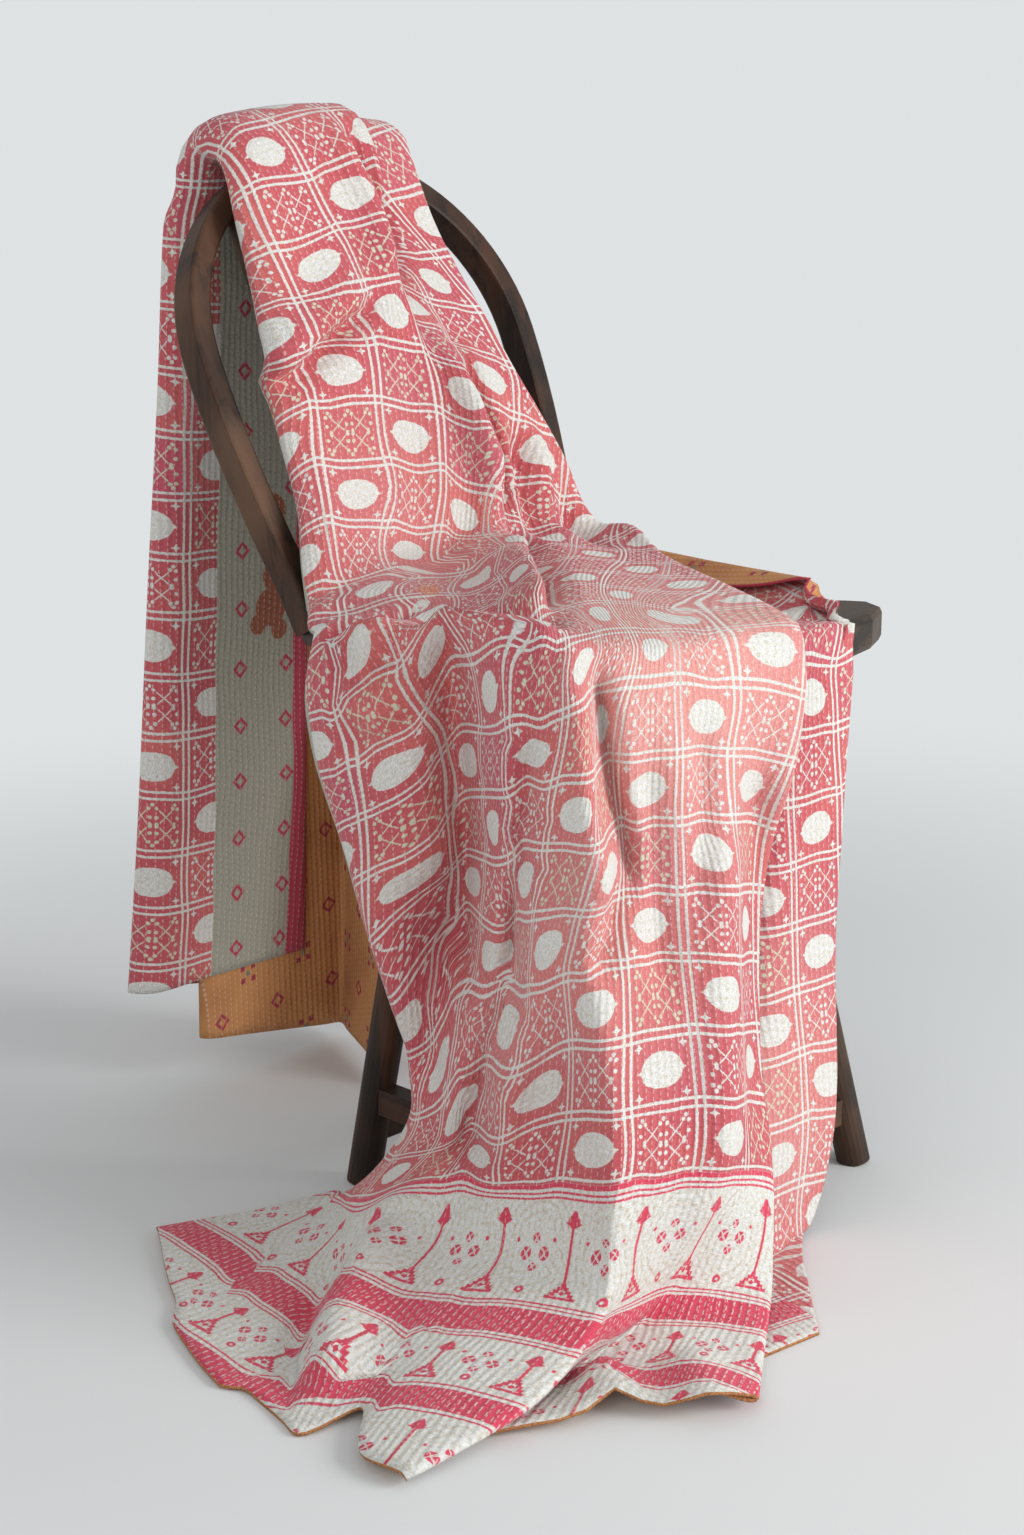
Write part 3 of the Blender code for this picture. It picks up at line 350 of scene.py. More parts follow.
# creases and swells of the hanging cloth: how far the heart of each is pushed (x, y, z), its half width,
# then the points of its line
CREASES = (
    # the deep valley under the knee, running on down between the left flank and the broad tube
    ((0.046, 0.042, 0.000), 0.021, ((-0.225, -0.040, 0.492), (-0.225, -0.048, 0.465),
     (-0.224, -0.052, 0.430), (-0.216, -0.049, 0.368), (-0.206, -0.044, 0.319), (-0.201, -0.038, 0.275),
     (-0.203, -0.045, 0.235), (-0.208, -0.050, 0.195))),
    # the tube of cloth to its left, and the rim of it that leans over the valley
    ((-0.011, -0.014, 0.000), 0.028, ((-0.232, 0.025, 0.450), (-0.226, 0.010, 0.390),
     (-0.216, 0.004, 0.335), (-0.208, 0.000, 0.280))),
    ((-0.006, -0.004, 0.000), 0.012, ((-0.238, -0.034, 0.470), (-0.238, -0.037, 0.430),
     (-0.230, -0.034, 0.368), (-0.220, -0.029, 0.319), (-0.214, -0.024, 0.275))),
    # the broad tube to its right, and its rim
    ((-0.018, -0.016, 0.000), 0.030, ((-0.220, -0.100, 0.490), (-0.220, -0.104, 0.436),
     (-0.216, -0.098, 0.383), (-0.209, -0.085, 0.330), (-0.206, -0.072, 0.260), (-0.210, -0.075, 0.200),
     (-0.222, -0.080, 0.130))),
    ((0.000, -0.012, 0.000), 0.013, ((-0.213, -0.066, 0.478), (-0.212, -0.068, 0.430),
     (-0.204, -0.065, 0.368), (-0.195, -0.060, 0.319), (-0.191, -0.054, 0.275), (-0.194, -0.062, 0.220))),
    # the flank turned under beside the seat's corner, and the edge that stands over it
    ((0.026, 0.021, 0.000), 0.011, ((-0.204, -0.170, 0.478), (-0.206, -0.177, 0.426),
     (-0.202, -0.182, 0.391), (-0.194, -0.188, 0.355), (-0.190, -0.194, 0.312))),
    ((-0.002, -0.016, 0.000), 0.013, ((-0.222, -0.150, 0.480), (-0.224, -0.158, 0.427),
     (-0.223, -0.166, 0.379), (-0.216, -0.176, 0.339), (-0.212, -0.184, 0.300))),
    # the long crease down the middle of the broad tube, deeper toward the floor
    ((0.015, 0.014, 0.000), 0.008, ((-0.222, -0.116, 0.440), (-0.219, -0.112, 0.380),
     (-0.211, -0.102, 0.317), (-0.209, -0.097, 0.255))),
    ((0.024, 0.020, 0.000), 0.010, ((-0.209, -0.102, 0.290), (-0.210, -0.092, 0.222),
     (-0.211, -0.080, 0.189), (-0.215, -0.072, 0.150), (-0.222, -0.068, 0.105), (-0.232, -0.070, 0.070))),
    ((-0.014, -0.014, 0.000), 0.016, ((-0.207, -0.128, 0.320), (-0.207, -0.124, 0.250),
     (-0.212, -0.114, 0.205), (-0.216, -0.101, 0.160), (-0.226, -0.096, 0.100))),
    # the left flank drawn in under the tube above the floor
    ((0.030, 0.018, 0.000), 0.020, ((-0.203, -0.010, 0.275), (-0.207, -0.014, 0.235),
     (-0.214, -0.018, 0.195), (-0.222, -0.020, 0.160), (-0.222, -0.014, 0.125))),
    # the roll of cloth over the knee and the tuck behind it
    ((-0.006, -0.006, 0.020), 0.019, ((-0.228, -0.020, 0.482), (-0.219, -0.070, 0.488),
     (-0.214, -0.110, 0.490), (-0.214, -0.152, 0.486))),
    ((0.006, 0.006, -0.012), 0.016, ((-0.206, 0.012, 0.492), (-0.188, -0.040, 0.498),
     (-0.180, -0.084, 0.500), (-0.176, -0.120, 0.498))),
    # pull folds running in from the side of the seat
    ((0.010, 0.008, -0.012), 0.009, ((-0.226, 0.082, 0.484), (-0.212, 0.040, 0.494),
     (-0.183, 0.020, 0.500))),
    ((-0.010, -0.004, 0.008), 0.011, ((-0.230, 0.072, 0.468), (-0.226, 0.042, 0.478),
     (-0.216, 0.004, 0.490))),
    ((0.014, 0.010, -0.004), 0.009, ((-0.236, 0.067, 0.456), (-0.234, 0.026, 0.454),
     (-0.225, -0.010, 0.472))),
    ((-0.010, -0.004, 0.003), 0.012, ((-0.238, 0.052, 0.436), (-0.234, 0.020, 0.432),
     (-0.227, -0.018, 0.452))),
    ((0.008, 0.006, 0.000), 0.010, ((-0.236, 0.045, 0.410), (-0.230, 0.018, 0.402),
     (-0.226, -0.020, 0.428))),
    # the far side of the front panel turned away
    ((0.016, 0.028, 0.000), 0.022, ((-0.062, -0.205, 0.400), (-0.059, -0.213, 0.330),
     (-0.067, -0.221, 0.258), (-0.081, -0.233, 0.188), (-0.098, -0.247, 0.110))),
    ((-0.006, -0.014, 0.000), 0.020, ((-0.105, -0.200, 0.360), (-0.115, -0.212, 0.300),
     (-0.128, -0.224, 0.230), (-0.142, -0.238, 0.160), (-0.155, -0.250, 0.100))),
    # small folds of the front panel
    ((0.009, 0.012, 0.000), 0.010, ((-0.205, -0.184, 0.334), (-0.204, -0.191, 0.299),
     (-0.222, -0.187, 0.262))),
    ((0.006, 0.010, 0.000), 0.012, ((-0.170, -0.200, 0.420), (-0.168, -0.205, 0.330),
     (-0.175, -0.215, 0.240))),
    ((0.005, 0.008, 0.000), 0.010, ((-0.120, -0.200, 0.430), (-0.124, -0.206, 0.360),
     (-0.140, -0.216, 0.300))),
    # the pleat down from the crest, and the flap's tip on the left
    ((0.000, 0.012, -0.006), 0.008, ((0.004, 0.296, 0.832), (0.011, 0.282, 0.806), (0.022, 0.270, 0.774),
     (0.024, 0.262, 0.741), (0.018, 0.246, 0.711))),
    ((0.000, -0.010, 0.005), 0.012, ((-0.016, 0.298, 0.835), (-0.010, 0.282, 0.806), (0.000, 0.270, 0.774),
     (0.004, 0.262, 0.741), (0.000, 0.246, 0.705))),
    ((0.004, 0.024, -0.004), 0.011, ((-0.150, 0.214, 0.638), (-0.124, 0.215, 0.648), (-0.063, 0.228, 0.680),
     (-0.020, 0.235, 0.698))),
    ((-0.010, -0.021, -0.006), 0.017, ((-0.160, 0.222, 0.658), (-0.124, 0.226, 0.668),
     (-0.063, 0.236, 0.698), (-0.020, 0.243, 0.715))),
    # the overlap's edge down the lean to the seat's corner
    ((0.006, 0.026, -0.014), 0.010, ((0.052, 0.222, 0.662), (0.050, 0.187, 0.619), (0.053, 0.152, 0.559),
     (0.018, 0.090, 0.509), (-0.060, 0.010, 0.500), (-0.148, -0.095, 0.498))),
    ((-0.004, -0.017, 0.012), 0.013, ((0.034, 0.228, 0.672), (0.030, 0.190, 0.622), (0.030, 0.156, 0.562),
     (-0.006, 0.095, 0.512), (-0.084, 0.016, 0.502), (-0.168, -0.085, 0.500))),
    # pull folds between the lean's right side and the seat
    ((0.000, 0.014, -0.010), 0.009, ((0.086, 0.180, 0.590), (0.078, 0.150, 0.545), (0.060, 0.110, 0.515))),
    ((0.006, -0.010, 0.008), 0.012, ((0.108, 0.180, 0.590), (0.104, 0.146, 0.540), (0.086, 0.100, 0.510))),
    ((0.000, 0.010, -0.010), 0.009, ((0.132, 0.160, 0.545), (0.120, 0.120, 0.512), (0.096, 0.080, 0.502))),
    # the cloth sagging toward the seat's left edge
    ((-0.004, 0.000, -0.010), 0.034, ((-0.182, 0.118, 0.488), (-0.202, 0.075, 0.486),
     (-0.212, 0.030, 0.484))),
    # the free edge turned up along the seat's far side, and its end drawn in over the panel beside it
    ((0.000, 0.000, 0.012), 0.017, ((0.158, 0.160, 0.477), (0.128, -0.005, 0.475), (0.112, -0.090, 0.475),
     (0.096, -0.175, 0.473))),
    ((-0.019, 0.017, -0.012), 0.018, ((0.104, -0.130, 0.480), (0.108, -0.170, 0.494),
     (0.104, -0.180, 0.470))),
    # the front lobe's side lying over the left one on the floor
    ((-0.010, 0.006, 0.020), 0.020, ((-0.246, -0.018, 0.044), (-0.317, -0.057, 0.013),
     (-0.421, -0.135, 0.003))),
    ((0.006, 0.004, -0.008), 0.012, ((-0.262, 0.006, 0.040), (-0.335, -0.030, 0.013),
     (-0.437, -0.106, 0.003))),
    # the hem's notch in front and its bulge on the left
    ((0.046, 0.016, 0.006), 0.017, ((-0.505, -0.195, 0.002), (-0.455, -0.176, 0.002),
     (-0.400, -0.150, 0.002))),
    ((-0.020, -0.007, 0.000), 0.080, ((-0.400, 0.060, 0.002), (-0.430, -0.010, 0.002),
     (-0.450, -0.080, 0.002))),
    ((0.012, 0.010, 0.012), 0.016, ((-0.330, -0.330, 0.002), (-0.310, -0.290, 0.002),
     (-0.270, -0.240, 0.010))),
    ((-0.010, -0.008, 0.012), 0.018, ((-0.262, -0.360, 0.002), (-0.245, -0.320, 0.002),
     (-0.210, -0.270, 0.010))),
)
# a crease grows over this share of its line from each end, and keeps this share of its depth at the ends
CREASE_FADE = 0.18
CREASE_END = 0.25
# how much of the depth along the push counts as distance
DEPTH_SHARE = 0.15


def nearest_on(line, points, push):
    """For each point, its distance from a line of chords and how far along it is, from 0 to 1.

    Depth along the push counts for less, so that layers lying on one another move together.
    """
    line = np.array(line)
    lengths = np.linalg.norm(np.diff(line, axis=0), axis=1)
    starts = np.concatenate([[0.0], np.cumsum(lengths)])
    inward = unit(np.array(push))
    best, along = np.full(points.shape[:-1], np.inf), np.zeros(points.shape[:-1])
    for start, end, length, passed in zip(line[:-1], line[1:], lengths, starts):
        chord = (end - start) / length
        run = np.clip((points - start) @ chord, 0.0, length)
        gap = points - (start + run[..., None] * chord)
        depth = gap @ inward
        gap = gap - (depth * (1 - DEPTH_SHARE))[..., None] * inward
        away = np.linalg.norm(gap, axis=-1)
        along = np.where(away < best, (passed + run) / starts[-1], along)
        best = np.minimum(away, best)
    return best, along


def creased(points):
    """The cloth pushed in or out at each crease: a bell across the line that fades at the line's ends."""
    moved = points.copy()
    for push, half, line in CREASES:
        away, along = nearest_on(line, points, push)
        ends = np.clip(np.minimum(along, 1.0 - along) / CREASE_FADE, 0.0, 1.0)
        grown = CREASE_END + (1 - CREASE_END) * ends * ends * (3 - 2 * ends)
        share = np.exp(-((away / half) ** 2)) * grown
        moved += share[..., None] * np.array(push)
    moved[..., 2] = np.maximum(moved[..., 2], CLOTH_THICK / 2 + FLOOR_GAP)
    return moved


def arc(start, end, slope_start, slope_end, width, f):
    """A cubic arc: its ends and end slopes are given, and f runs from 0 to 1 over the width."""
    rise = 3 * f**2 - 2 * f**3
    return (start * (1 - rise) + end * rise
            + width * ((f**3 - 2 * f**2 + f) * slope_start + (f**3 - f**2) * slope_end))


def gentle_slopes(rows, gaps):
    """Slope at each row: the weighted harmonic mean of the rises on its two sides, or 0 at a turn."""
    rises = np.diff(rows, axis=0) / gaps[:, None, None]
    before, after = rises[:-1], rises[1:]
    same = before * after > 0
    w1 = (2 * gaps[1:] + gaps[:-1])[:, None, None]
    w2 = (gaps[1:] + 2 * gaps[:-1])[:, None, None]
    mean = (w1 + w2) / (w1 / np.where(same, before, 1.0) + w2 / np.where(same, after, 1.0))
    return np.concatenate([rises[:1], np.where(same, mean, 0.0), rises[-1:]])


def with_rows(rows, step):
    """The grid with rows added on gentle arcs, about a step apart."""
    gaps = np.linalg.norm(np.diff(rows[..., :3], axis=0), axis=2).mean(axis=1)
    slopes = gentle_slopes(rows, gaps)
    out = []
    for i, gap in enumerate(gaps):
        f = (np.arange(max(1, round(gap / step))) / max(1, round(gap / step)))[:, None, None]
        out.append(arc(rows[i], rows[i + 1], slopes[i], slopes[i + 1], gap, f))
    return np.concatenate(out + [rows[-1:]])


def with_columns(grid, step, least=2):
    """The grid with columns added on arcs through its points, timed by the root of each chord."""
    chords = np.linalg.norm(np.diff(grid[..., :3], axis=1), axis=2)
    times = np.sqrt(chords + TINY)[..., None]
    rises = np.diff(grid, axis=1) / times
    before, after = times[:, :-1], times[:, 1:]
    inner = (rises[:, :-1] * after + rises[:, 1:] * before) / (before + after)
    slopes = np.concatenate([rises[:, :1], inner, rises[:, -1:]], axis=1)
    out = []
    for k in range(grid.shape[1] - 1):
        count = max(least, math.ceil(np.quantile(chords[:, k], WIDE_CHORD) / step))
        f = (np.arange(count) / count)[None, :, None]
        start, end = grid[:, k:k + 1], grid[:, k + 1:k + 2]
        out.append(arc(start, end, slopes[:, k:k + 1], slopes[:, k + 1:k + 2], times[:, k:k + 1], f))
    return np.concatenate(out + [grid[:, -1:]], axis=1)


def block_solver(blocks, links):
    """Solver for equations in which each row of the grid is coupled only to the rows next to it."""
    inverses = [np.linalg.inv(blocks[0])]
    for block, link in zip(blocks[1:], links):
        inverses.append(np.linalg.inv(block - link.T @ inverses[-1] @ link))

    def solved(side):
        passed = [side[0]]
        for row, link, inverse in zip(side[1:], links, inverses):
            passed.append(row - link.T @ (inverse @ passed[-1]))
        answer = [inverses[-1] @ passed[-1]]
        for row, link, inverse in zip(passed[-2::-1], links[::-1], inverses[-2::-1]):
            answer.append(inverse @ (row - link @ answer[-1]))
        return np.array(answer[::-1])

    return solved


def flattened(grid, keep, pins):
    """Where each point lies on the flat cloth: triangles turn freely but keep their shape, as springs.

    Each round fits a turn to every triangle, then solves for the points that those turns ask for.
    keep is the stiffness of each quad, and a pin holds the sheet at (row, column) to a flat (u, v).
    """
    rows, columns = grid.shape[:2]
    index = np.arange(rows * columns).reshape(rows, columns)
    a, b, c, d = index[:-1, :-1], index[:-1, 1:], index[1:, :-1], index[1:, 1:]
    corners = np.concatenate([np.stack(t, -1).reshape(-1, 3) for t in ((a, b, c), (d, c, b))])
    stiff = np.concatenate([keep.reshape(-1), keep.reshape(-1)])
    points = grid.reshape(-1, 3)
    first = points[corners[:, 1]] - points[corners[:, 0]]
    second = points[corners[:, 2]] - points[corners[:, 0]]
    base = np.linalg.norm(first, axis=1)
    along = (first * second).sum(1) / base
    height = np.linalg.norm(np.cross(first, second), axis=1) / base
    local = np.zeros((len(corners), 3, 2))
    local[:, 1, 0] = base
    local[:, 2] = np.stack([along, -height], 1)

    size = rows * columns
    blocks = np.zeros((rows, columns, columns))
    links = np.zeros((rows - 1, columns, columns))
    pin_side = np.zeros((size, 2))

    def couple(i, j, value):
        """Adds to the springs' matrix, kept as one block a row and one link to the row below."""
        i, j, value = np.broadcast_arrays(i, j, value)
        same, below = i // columns == j // columns, j // columns == i // columns + 1
        np.add.at(blocks, (i[same] // columns, i[same] % columns, j[same] % columns), value[same])
        np.add.at(links, (i[below] // columns, i[below] % columns, j[below] % columns), value[below])

    for row, column, u, v, hold in pins:
        i, k = min(int(row), rows - 2), min(int(column), columns - 2)
        fi, fj = row - i, column - k
        spots = index[[i, i, i + 1, i + 1], [k, k + 1, k, k + 1]]
        share = np.array([(1 - fi) * (1 - fj), (1 - fi) * fj, fi * (1 - fj), fi * fj])
        couple(spots[:, None], spots[None, :], hold * np.outer(share, share))
        pin_side[spots] += hold * share[:, None] * np.array([u, v])
    sides = ((0, 1), (1, 2), (2, 0))
    for p, q in sides:
        i, j = corners[:, p], corners[:, q]
        for first_end, second_end, sign in ((i, i, 1), (j, j, 1), (i, j, -1), (j, i, -1)):
            couple(first_end, second_end, sign * stiff)
    solved = block_solver(blocks, links)

    widths = np.linalg.norm(np.diff(grid, axis=1), axis=2).mean(0)
    lengths = np.linalg.norm(np.diff(grid, axis=0), axis=2).mean(1)
    across = np.concatenate([[0.0], np.cumsum(widths)])
    down = np.concatenate([[0.0], np.cumsum(lengths)])
    flat = np.stack(np.broadcast_arrays(across[None, :], -down[:, None]), -1).reshape(-1, 2)
    for _ in range(FLATTEN_ROUNDS):
        pull = np.zeros((size, 2))
        cosine, sine = np.zeros(len(corners)), np.zeros(len(corners))
        for p, q in sides:
            now = flat[corners[:, p]] - flat[corners[:, q]]
            was = local[:, p] - local[:, q]
            cosine += (now * was).sum(1)
            sine += now[:, 1] * was[:, 0] - now[:, 0] * was[:, 1]
        length = np.hypot(cosine, sine) + 1e-12
        cosine, sine = cosine / length, sine / length
        for p, q in sides:
            was = local[:, p] - local[:, q]
            turned = np.stack([cosine * was[:, 0] - sine * was[:, 1],
                               sine * was[:, 0] + cosine * was[:, 1]], 1)
            np.add.at(pull, corners[:, p], stiff[:, None] * turned)
            np.add.at(pull, corners[:, q], -stiff[:, None] * turned)
        flat = solved((pull + pin_side).reshape(rows, columns, 2)).reshape(size, 2)
    return flat.reshape(rows, columns, 2)


class Number:
    """A number that changes over a surface: arithmetic on it adds Math nodes to the material."""

    def __init__(self, tree, socket):
        self.tree = tree
        self.socket = socket

    def math(self, operation, *others, clamp=False):
        node = self.tree.nodes.new("ShaderNodeMath")
        node.operation = operation
        node.use_clamp = clamp
        for place, value in enumerate((self, *others)):
            if isinstance(value, Number):
                self.tree.links.new(value.socket, node.inputs[place])
            else:
                node.inputs[place].default_value = value
        return Number(self.tree, node.outputs[0])

    def __add__(self, other):
        return self.math("ADD", other)

    def __sub__(self, other):
        return self.math("SUBTRACT", other)

    def __mul__(self, other):
        return self.math("MULTIPLY", other)

    __radd__ = __add__

    def __rsub__(self, other):
        return self.math("MULTIPLY_ADD", -1.0, other)

    def __abs__(self):
        return self.math("ABSOLUTE")

    def __mod__(self, other):
        return self.math("FLOORED_MODULO", other)

    def floor(self):
        return self.math("FLOOR")

    def least(self, other):
        return self.math("MINIMUM", other)

    def most(self, other):
        return self.math("MAXIMUM", other)

    def below(self, limit, soft=0.5):
        """1 where the number is under the limit, 0 above, over a soft edge."""
        return self.math("MULTIPLY_ADD", -1.0 / soft, limit / soft + 0.5, clamp=True)

    def above(self, limit, soft=0.5):
        """1 where the number is over the limit, 0 under, over a soft edge."""
        return self.math("MULTIPLY_ADD", 1.0 / soft, 0.5 - limit / soft, clamp=True)

    def within(self, half, soft=0.5):
        """1 where the number is less than half away from 0."""
        return abs(self).below(half, soft)

    def spaced(self, pitch):
        """Distance to the middle of its step, on steps of one pitch: from -pitch/2 to pitch/2."""
        return (self + pitch) % pitch - pitch / 2


class Finish:
    """One material: its node tree, its Principled shader and the places that its patterns read."""

    def __init__(self, name, roughness):
        self.material = bpy.data.materials.new(name)
        self.material.use_nodes = True
        self.tree = self.material.node_tree
        self.shader = self.tree.nodes["Principled BSDF"]
        self.shader.inputs["Roughness"].default_value = roughness

    def node(self, kind, **settings):
        made = self.tree.nodes.new(kind)
        for key, value in settings.items():
            setattr(made, key, value)
        return made

    def link(self, source, target):
        self.tree.links.new(source, target)

    def uv(self):
        """Flat place on the cloth, u across and v along, in millimetres."""
        place = self.node("ShaderNodeUVMap", uv_map="flat")
        split = self.node("ShaderNodeSeparateXYZ")
        self.link(place.outputs["UV"], split.inputs[0])
        return Number(self.tree, split.outputs[0]) * MM, Number(self.tree, split.outputs[1]) * MM

    def object_place(self):
        return self.node("ShaderNodeTexCoord").outputs["Object"]

    def pair(self, x, y, z=0.0):
        """A vector from two or three numbers."""
        node = self.node("ShaderNodeCombineXYZ")
        for place, value in enumerate((x, y, z)):
            if isinstance(value, Number):
                self.link(value.socket, node.inputs[place])
            else:
                node.inputs[place].default_value = value
        return node.outputs[0]

    def noise(self, place, scale, detail=2.0, rough=0.5):
        """Cloudy noise of about 0 to 1 round 0.5."""
        node = self.node("ShaderNodeTexNoise")
        self.link(place, node.inputs["Vector"])
        node.inputs["Scale"].default_value = scale
        node.inputs["Detail"].default_value = detail
        node.inputs["Roughness"].default_value = rough
        return Number(self.tree, node.outputs["Fac"])

    def chance(self, place):
        """A steady random number from 0 to 1 for each place."""
        node = self.node("ShaderNodeTexWhiteNoise", noise_dimensions="3D")
        self.link(place, node.inputs["Vector"])
        return Number(self.tree, node.outputs["Value"])

    def distance(self, place, spot):
        """Distance from a vector to a fixed spot."""
        node = self.node("ShaderNodeVectorMath", operation="DISTANCE")
        self.link(place, node.inputs[0])
        node.inputs[1].default_value = spot
        return Number(self.tree, node.outputs["Value"])

    def mixed(self, share, under, over):
        """Colour `over` laid on colour `under` by the share; a colour is three numbers or a socket."""
        node = self.node("ShaderNodeMix", data_type="RGBA")
        self.link(share.socket, node.inputs["Factor"])
        for key, colour in (("A", under), ("B", over)):
            socket = [s for s in node.inputs if s.name == key and s.type == "RGBA"][0]
            if isinstance(colour, tuple):
                socket.default_value = (*colour, 1.0)
            else:
                self.link(colour, socket)
        return [s for s in node.outputs if s.type == "RGBA"][0]

    def bump(self, height, depth):
        """Relief of this height, in metres where the height is 1."""
        node = self.node("ShaderNodeBump")
        node.inputs["Strength"].default_value = 1.0
        node.inputs["Distance"].default_value = depth
        self.link(height.socket, node.inputs["Height"])
        self.link(node.outputs["Normal"], self.shader.inputs["Normal"])

    def coloured(self, colour):
        self.link(colour, self.shader.inputs["Base Color"])
        return self.material


# ---- the print, in millimetres on the flat cloth ----
LINE_APART = 3.0
LINE_HALF = 1.1
OVAL_HALF = (18.5, 13.0)
OVAL_TIP = (21.5, 12.6)
OVAL_POWER = 2.2
OVAL_FRAY = 0.22
STAR_IN = (20.5, 17.6)
STAR_HALF = 3.4
STAR_WAIST = 1.5
LATTICE_STEP = (10.2, 7.4)
LATTICE_ARM = 5.2
ARM_HALF = 0.7
DOT_RADIUS = 1.6
# dots of the lattice cells in one quarter of the cell: across and along from its middle
LATTICE_DOTS = ((2.5, 1.0), (2.5, 6.8), (0.0, 17.6), (3.1, 14.4), (16.4, 14.8), (20.8, 14.0), (18.6, 17.8),
                (17.4, 1.2), (20.6, 6.2))

# how far the print drifts and frays off its grid, and how far the stitch rows drift
PRINT_DRIFT = 7.0
PRINT_FRAY = 1.3
FRAY_SCALE = 0.42
ROW_DRIFT = 9.0

ROSE = (0.560, 0.135, 0.130)
CRIMSON = (0.440, 0.050, 0.085)
FADED = (0.700, 0.330, 0.290)
MAUVE = (0.480, 0.075, 0.150)
OFF_WHITE = (0.650, 0.660, 0.635)
OATMEAL = (0.560, 0.540, 0.400)
DOT_GREEN = (0.520, 0.540, 0.340)
BAND_RED = (0.600, 0.060, 0.105)
STITCH = (0.780, 0.620, 0.600)
# where the cloth is sun-faded: across, along, radius (mm) and share
FADED_SPOTS = ((670.0, 380.0, 190.0, 0.85), (560.0, 200.0, 150.0, 0.45), (1040.0, 60.0, 170.0, 0.45),
               (470.0, 160.0, 120.0, 0.40), (340.0, 650.0, 140.0, 0.30))
# a small flower worked in orange thread: across and along, its least and greatest radius, and how often
# petals and rays come round in half a turn
FLOWER_AT = (333.0, 574.0)
FLOWER_REACH = (9.0, 14.5)
FLOWER_PETALS = 3.0
FLOWER_RAYS = 6.0
# a darker mend on the side border: across and along of its lobes, and their radii
MEND_LOBES = ((150.0, 1398.0, 17.0), (148.0, 1425.0, 15.0), (142.0, 1452.0, 14.0), (146.0, 1480.0, 17.0),
              (160.0, 1494.0, 9.0), (136.0, 1500.0, 9.0))
MEND_BROWN = (0.300, 0.090, 0.045)
THREAD_ORANGE = (0.620, 0.200, 0.060)

# rows of running stitch: how far apart, a stitch with its gap, the stitch's share of it, the thread's half
# width, and how far each row is set off from the last
ROW_APART = 6.3
STITCH_LENGTH = 5.2
STITCH_SHARE = 0.55
THREAD_HALF = 0.42
ROW_OFFSET = 0.37
# relief of the cloth: share of ribs, puckers and weave, and its height in metres
RIB_SHARE = 0.45
PUCKER_SHARE = 1.2
WEAVE_SHARE = 0.25
RELIEF = 0.0011


def joined(shares):
    """The largest of some shares: one pattern made of parts."""
    whole = shares[0]
    for share in shares[1:]:
        whole = whole.most(share)
    return whole


def cell_print(finish, u, v):
    """White share of the field's print: ovals with stars and lattices turn about between paired lines.

    An oval is the less of a power sum and a tip of two slopes; a is across its cell's middle and b along.
    """
    column = (u * (1 / CELL_U)).floor()
    row = (v * (1 / CELL_V)).floor()
    a, b = abs(u % CELL_U - CELL_U / 2), abs(v % CELL_V - CELL_V / 2)
    line_a, line_b = a - (CELL_U / 2 - LINE_APART), b - (CELL_V / 2 - LINE_APART)
    lines = line_a.within(LINE_HALF).most(line_b.within(LINE_HALF))
    frayed = finish.noise(finish.pair(u, v), 0.12, 3.0, 0.7) - 0.5
    round_part = ((a * (1 / OVAL_HALF[0])).math("POWER", OVAL_POWER)
                  + (b * (1 / OVAL_HALF[1])).math("POWER", OVAL_POWER))
    tip = a * (1 / OVAL_TIP[0]) + b * (1 / OVAL_TIP[1])
    oval = (round_part.least(tip) + frayed * OVAL_FRAY).below(1.0, 0.09)
    star_a, star_b = abs(a - STAR_IN[0]), abs(b - STAR_IN[1])
    star = (star_a * star_b).below(STAR_WAIST, 0.9) * star_a.most(star_b).below(STAR_HALF, 0.6)
    arm_a, arm_b = abs(a - LATTICE_STEP[0]), abs(b - LATTICE_STEP[1])
    arms = (arm_a - arm_b).within(ARM_HALF, 0.7) * arm_a.below(LATTICE_ARM, 0.6)
    place = finish.pair(a, b)
    nearest = finish.distance(place, (*LATTICE_DOTS[0], 0.0))
    for spot in LATTICE_DOTS[1:]:
        nearest = nearest.least(finish.distance(place, (*spot, 0.0)))
    lattice = arms.most(nearest.below(DOT_RADIUS, 0.6))
    odd = (column + row) % 2.0
    plain = 1.0 - odd
    return lines.most(oval.most(star) * odd).most(lattice * plain), lines, plain, column, row


def dashes(u, v, apart, length, share):
    """Rows of running stitches along v: thin dashes, each row set off from the last."""
    row = (u * (1 / apart)).floor()
    offset = (row * ROW_OFFSET) % 1.0
    beat = (v * (1 / length) + offset) % 1.0
    return (u % apart - apart / 2).within(THREAD_HALF, 0.5) * beat.below(share, 0.12)


def needlework(finish, u, v, flat, colour):
    """A flower in looped orange thread on the seat, and a lobed brown mend on the side border."""
    across, along = u - FLOWER_AT[0], v - FLOWER_AT[1]
    turn = along.math("ARCTAN2", across)
    out = finish.distance(flat, (*FLOWER_AT, 0.0))
    least, most = FLOWER_REACH
    petal = abs((turn * FLOWER_PETALS).math("COSINE")) * (most - least) + least
    outline, heart, inner = (out - petal).within(1.3, 0.8), out.below(3.5, 1.0), out - petal * 0.55
    loops = outline.most(heart).most(inner.within(1.0, 0.8))
    rays = abs((turn * FLOWER_RAYS).math("COSINE")).above(0.72, 0.3) * (petal - out).above(0.0, 0.8)
    rough = finish.noise(flat, 0.55, 2.0).above(0.40, 0.2)
    colour = finish.mixed(loops.most(rays) * rough, colour, THREAD_ORANGE)
    mend = joined([finish.distance(flat, (lobe_u, lobe_v, 0.0)).below(radius, 1.5)
                   for lobe_u, lobe_v, radius in MEND_LOBES])
    return finish.mixed(mend * (rough * 0.25 + 0.75), colour, MEND_BROWN)


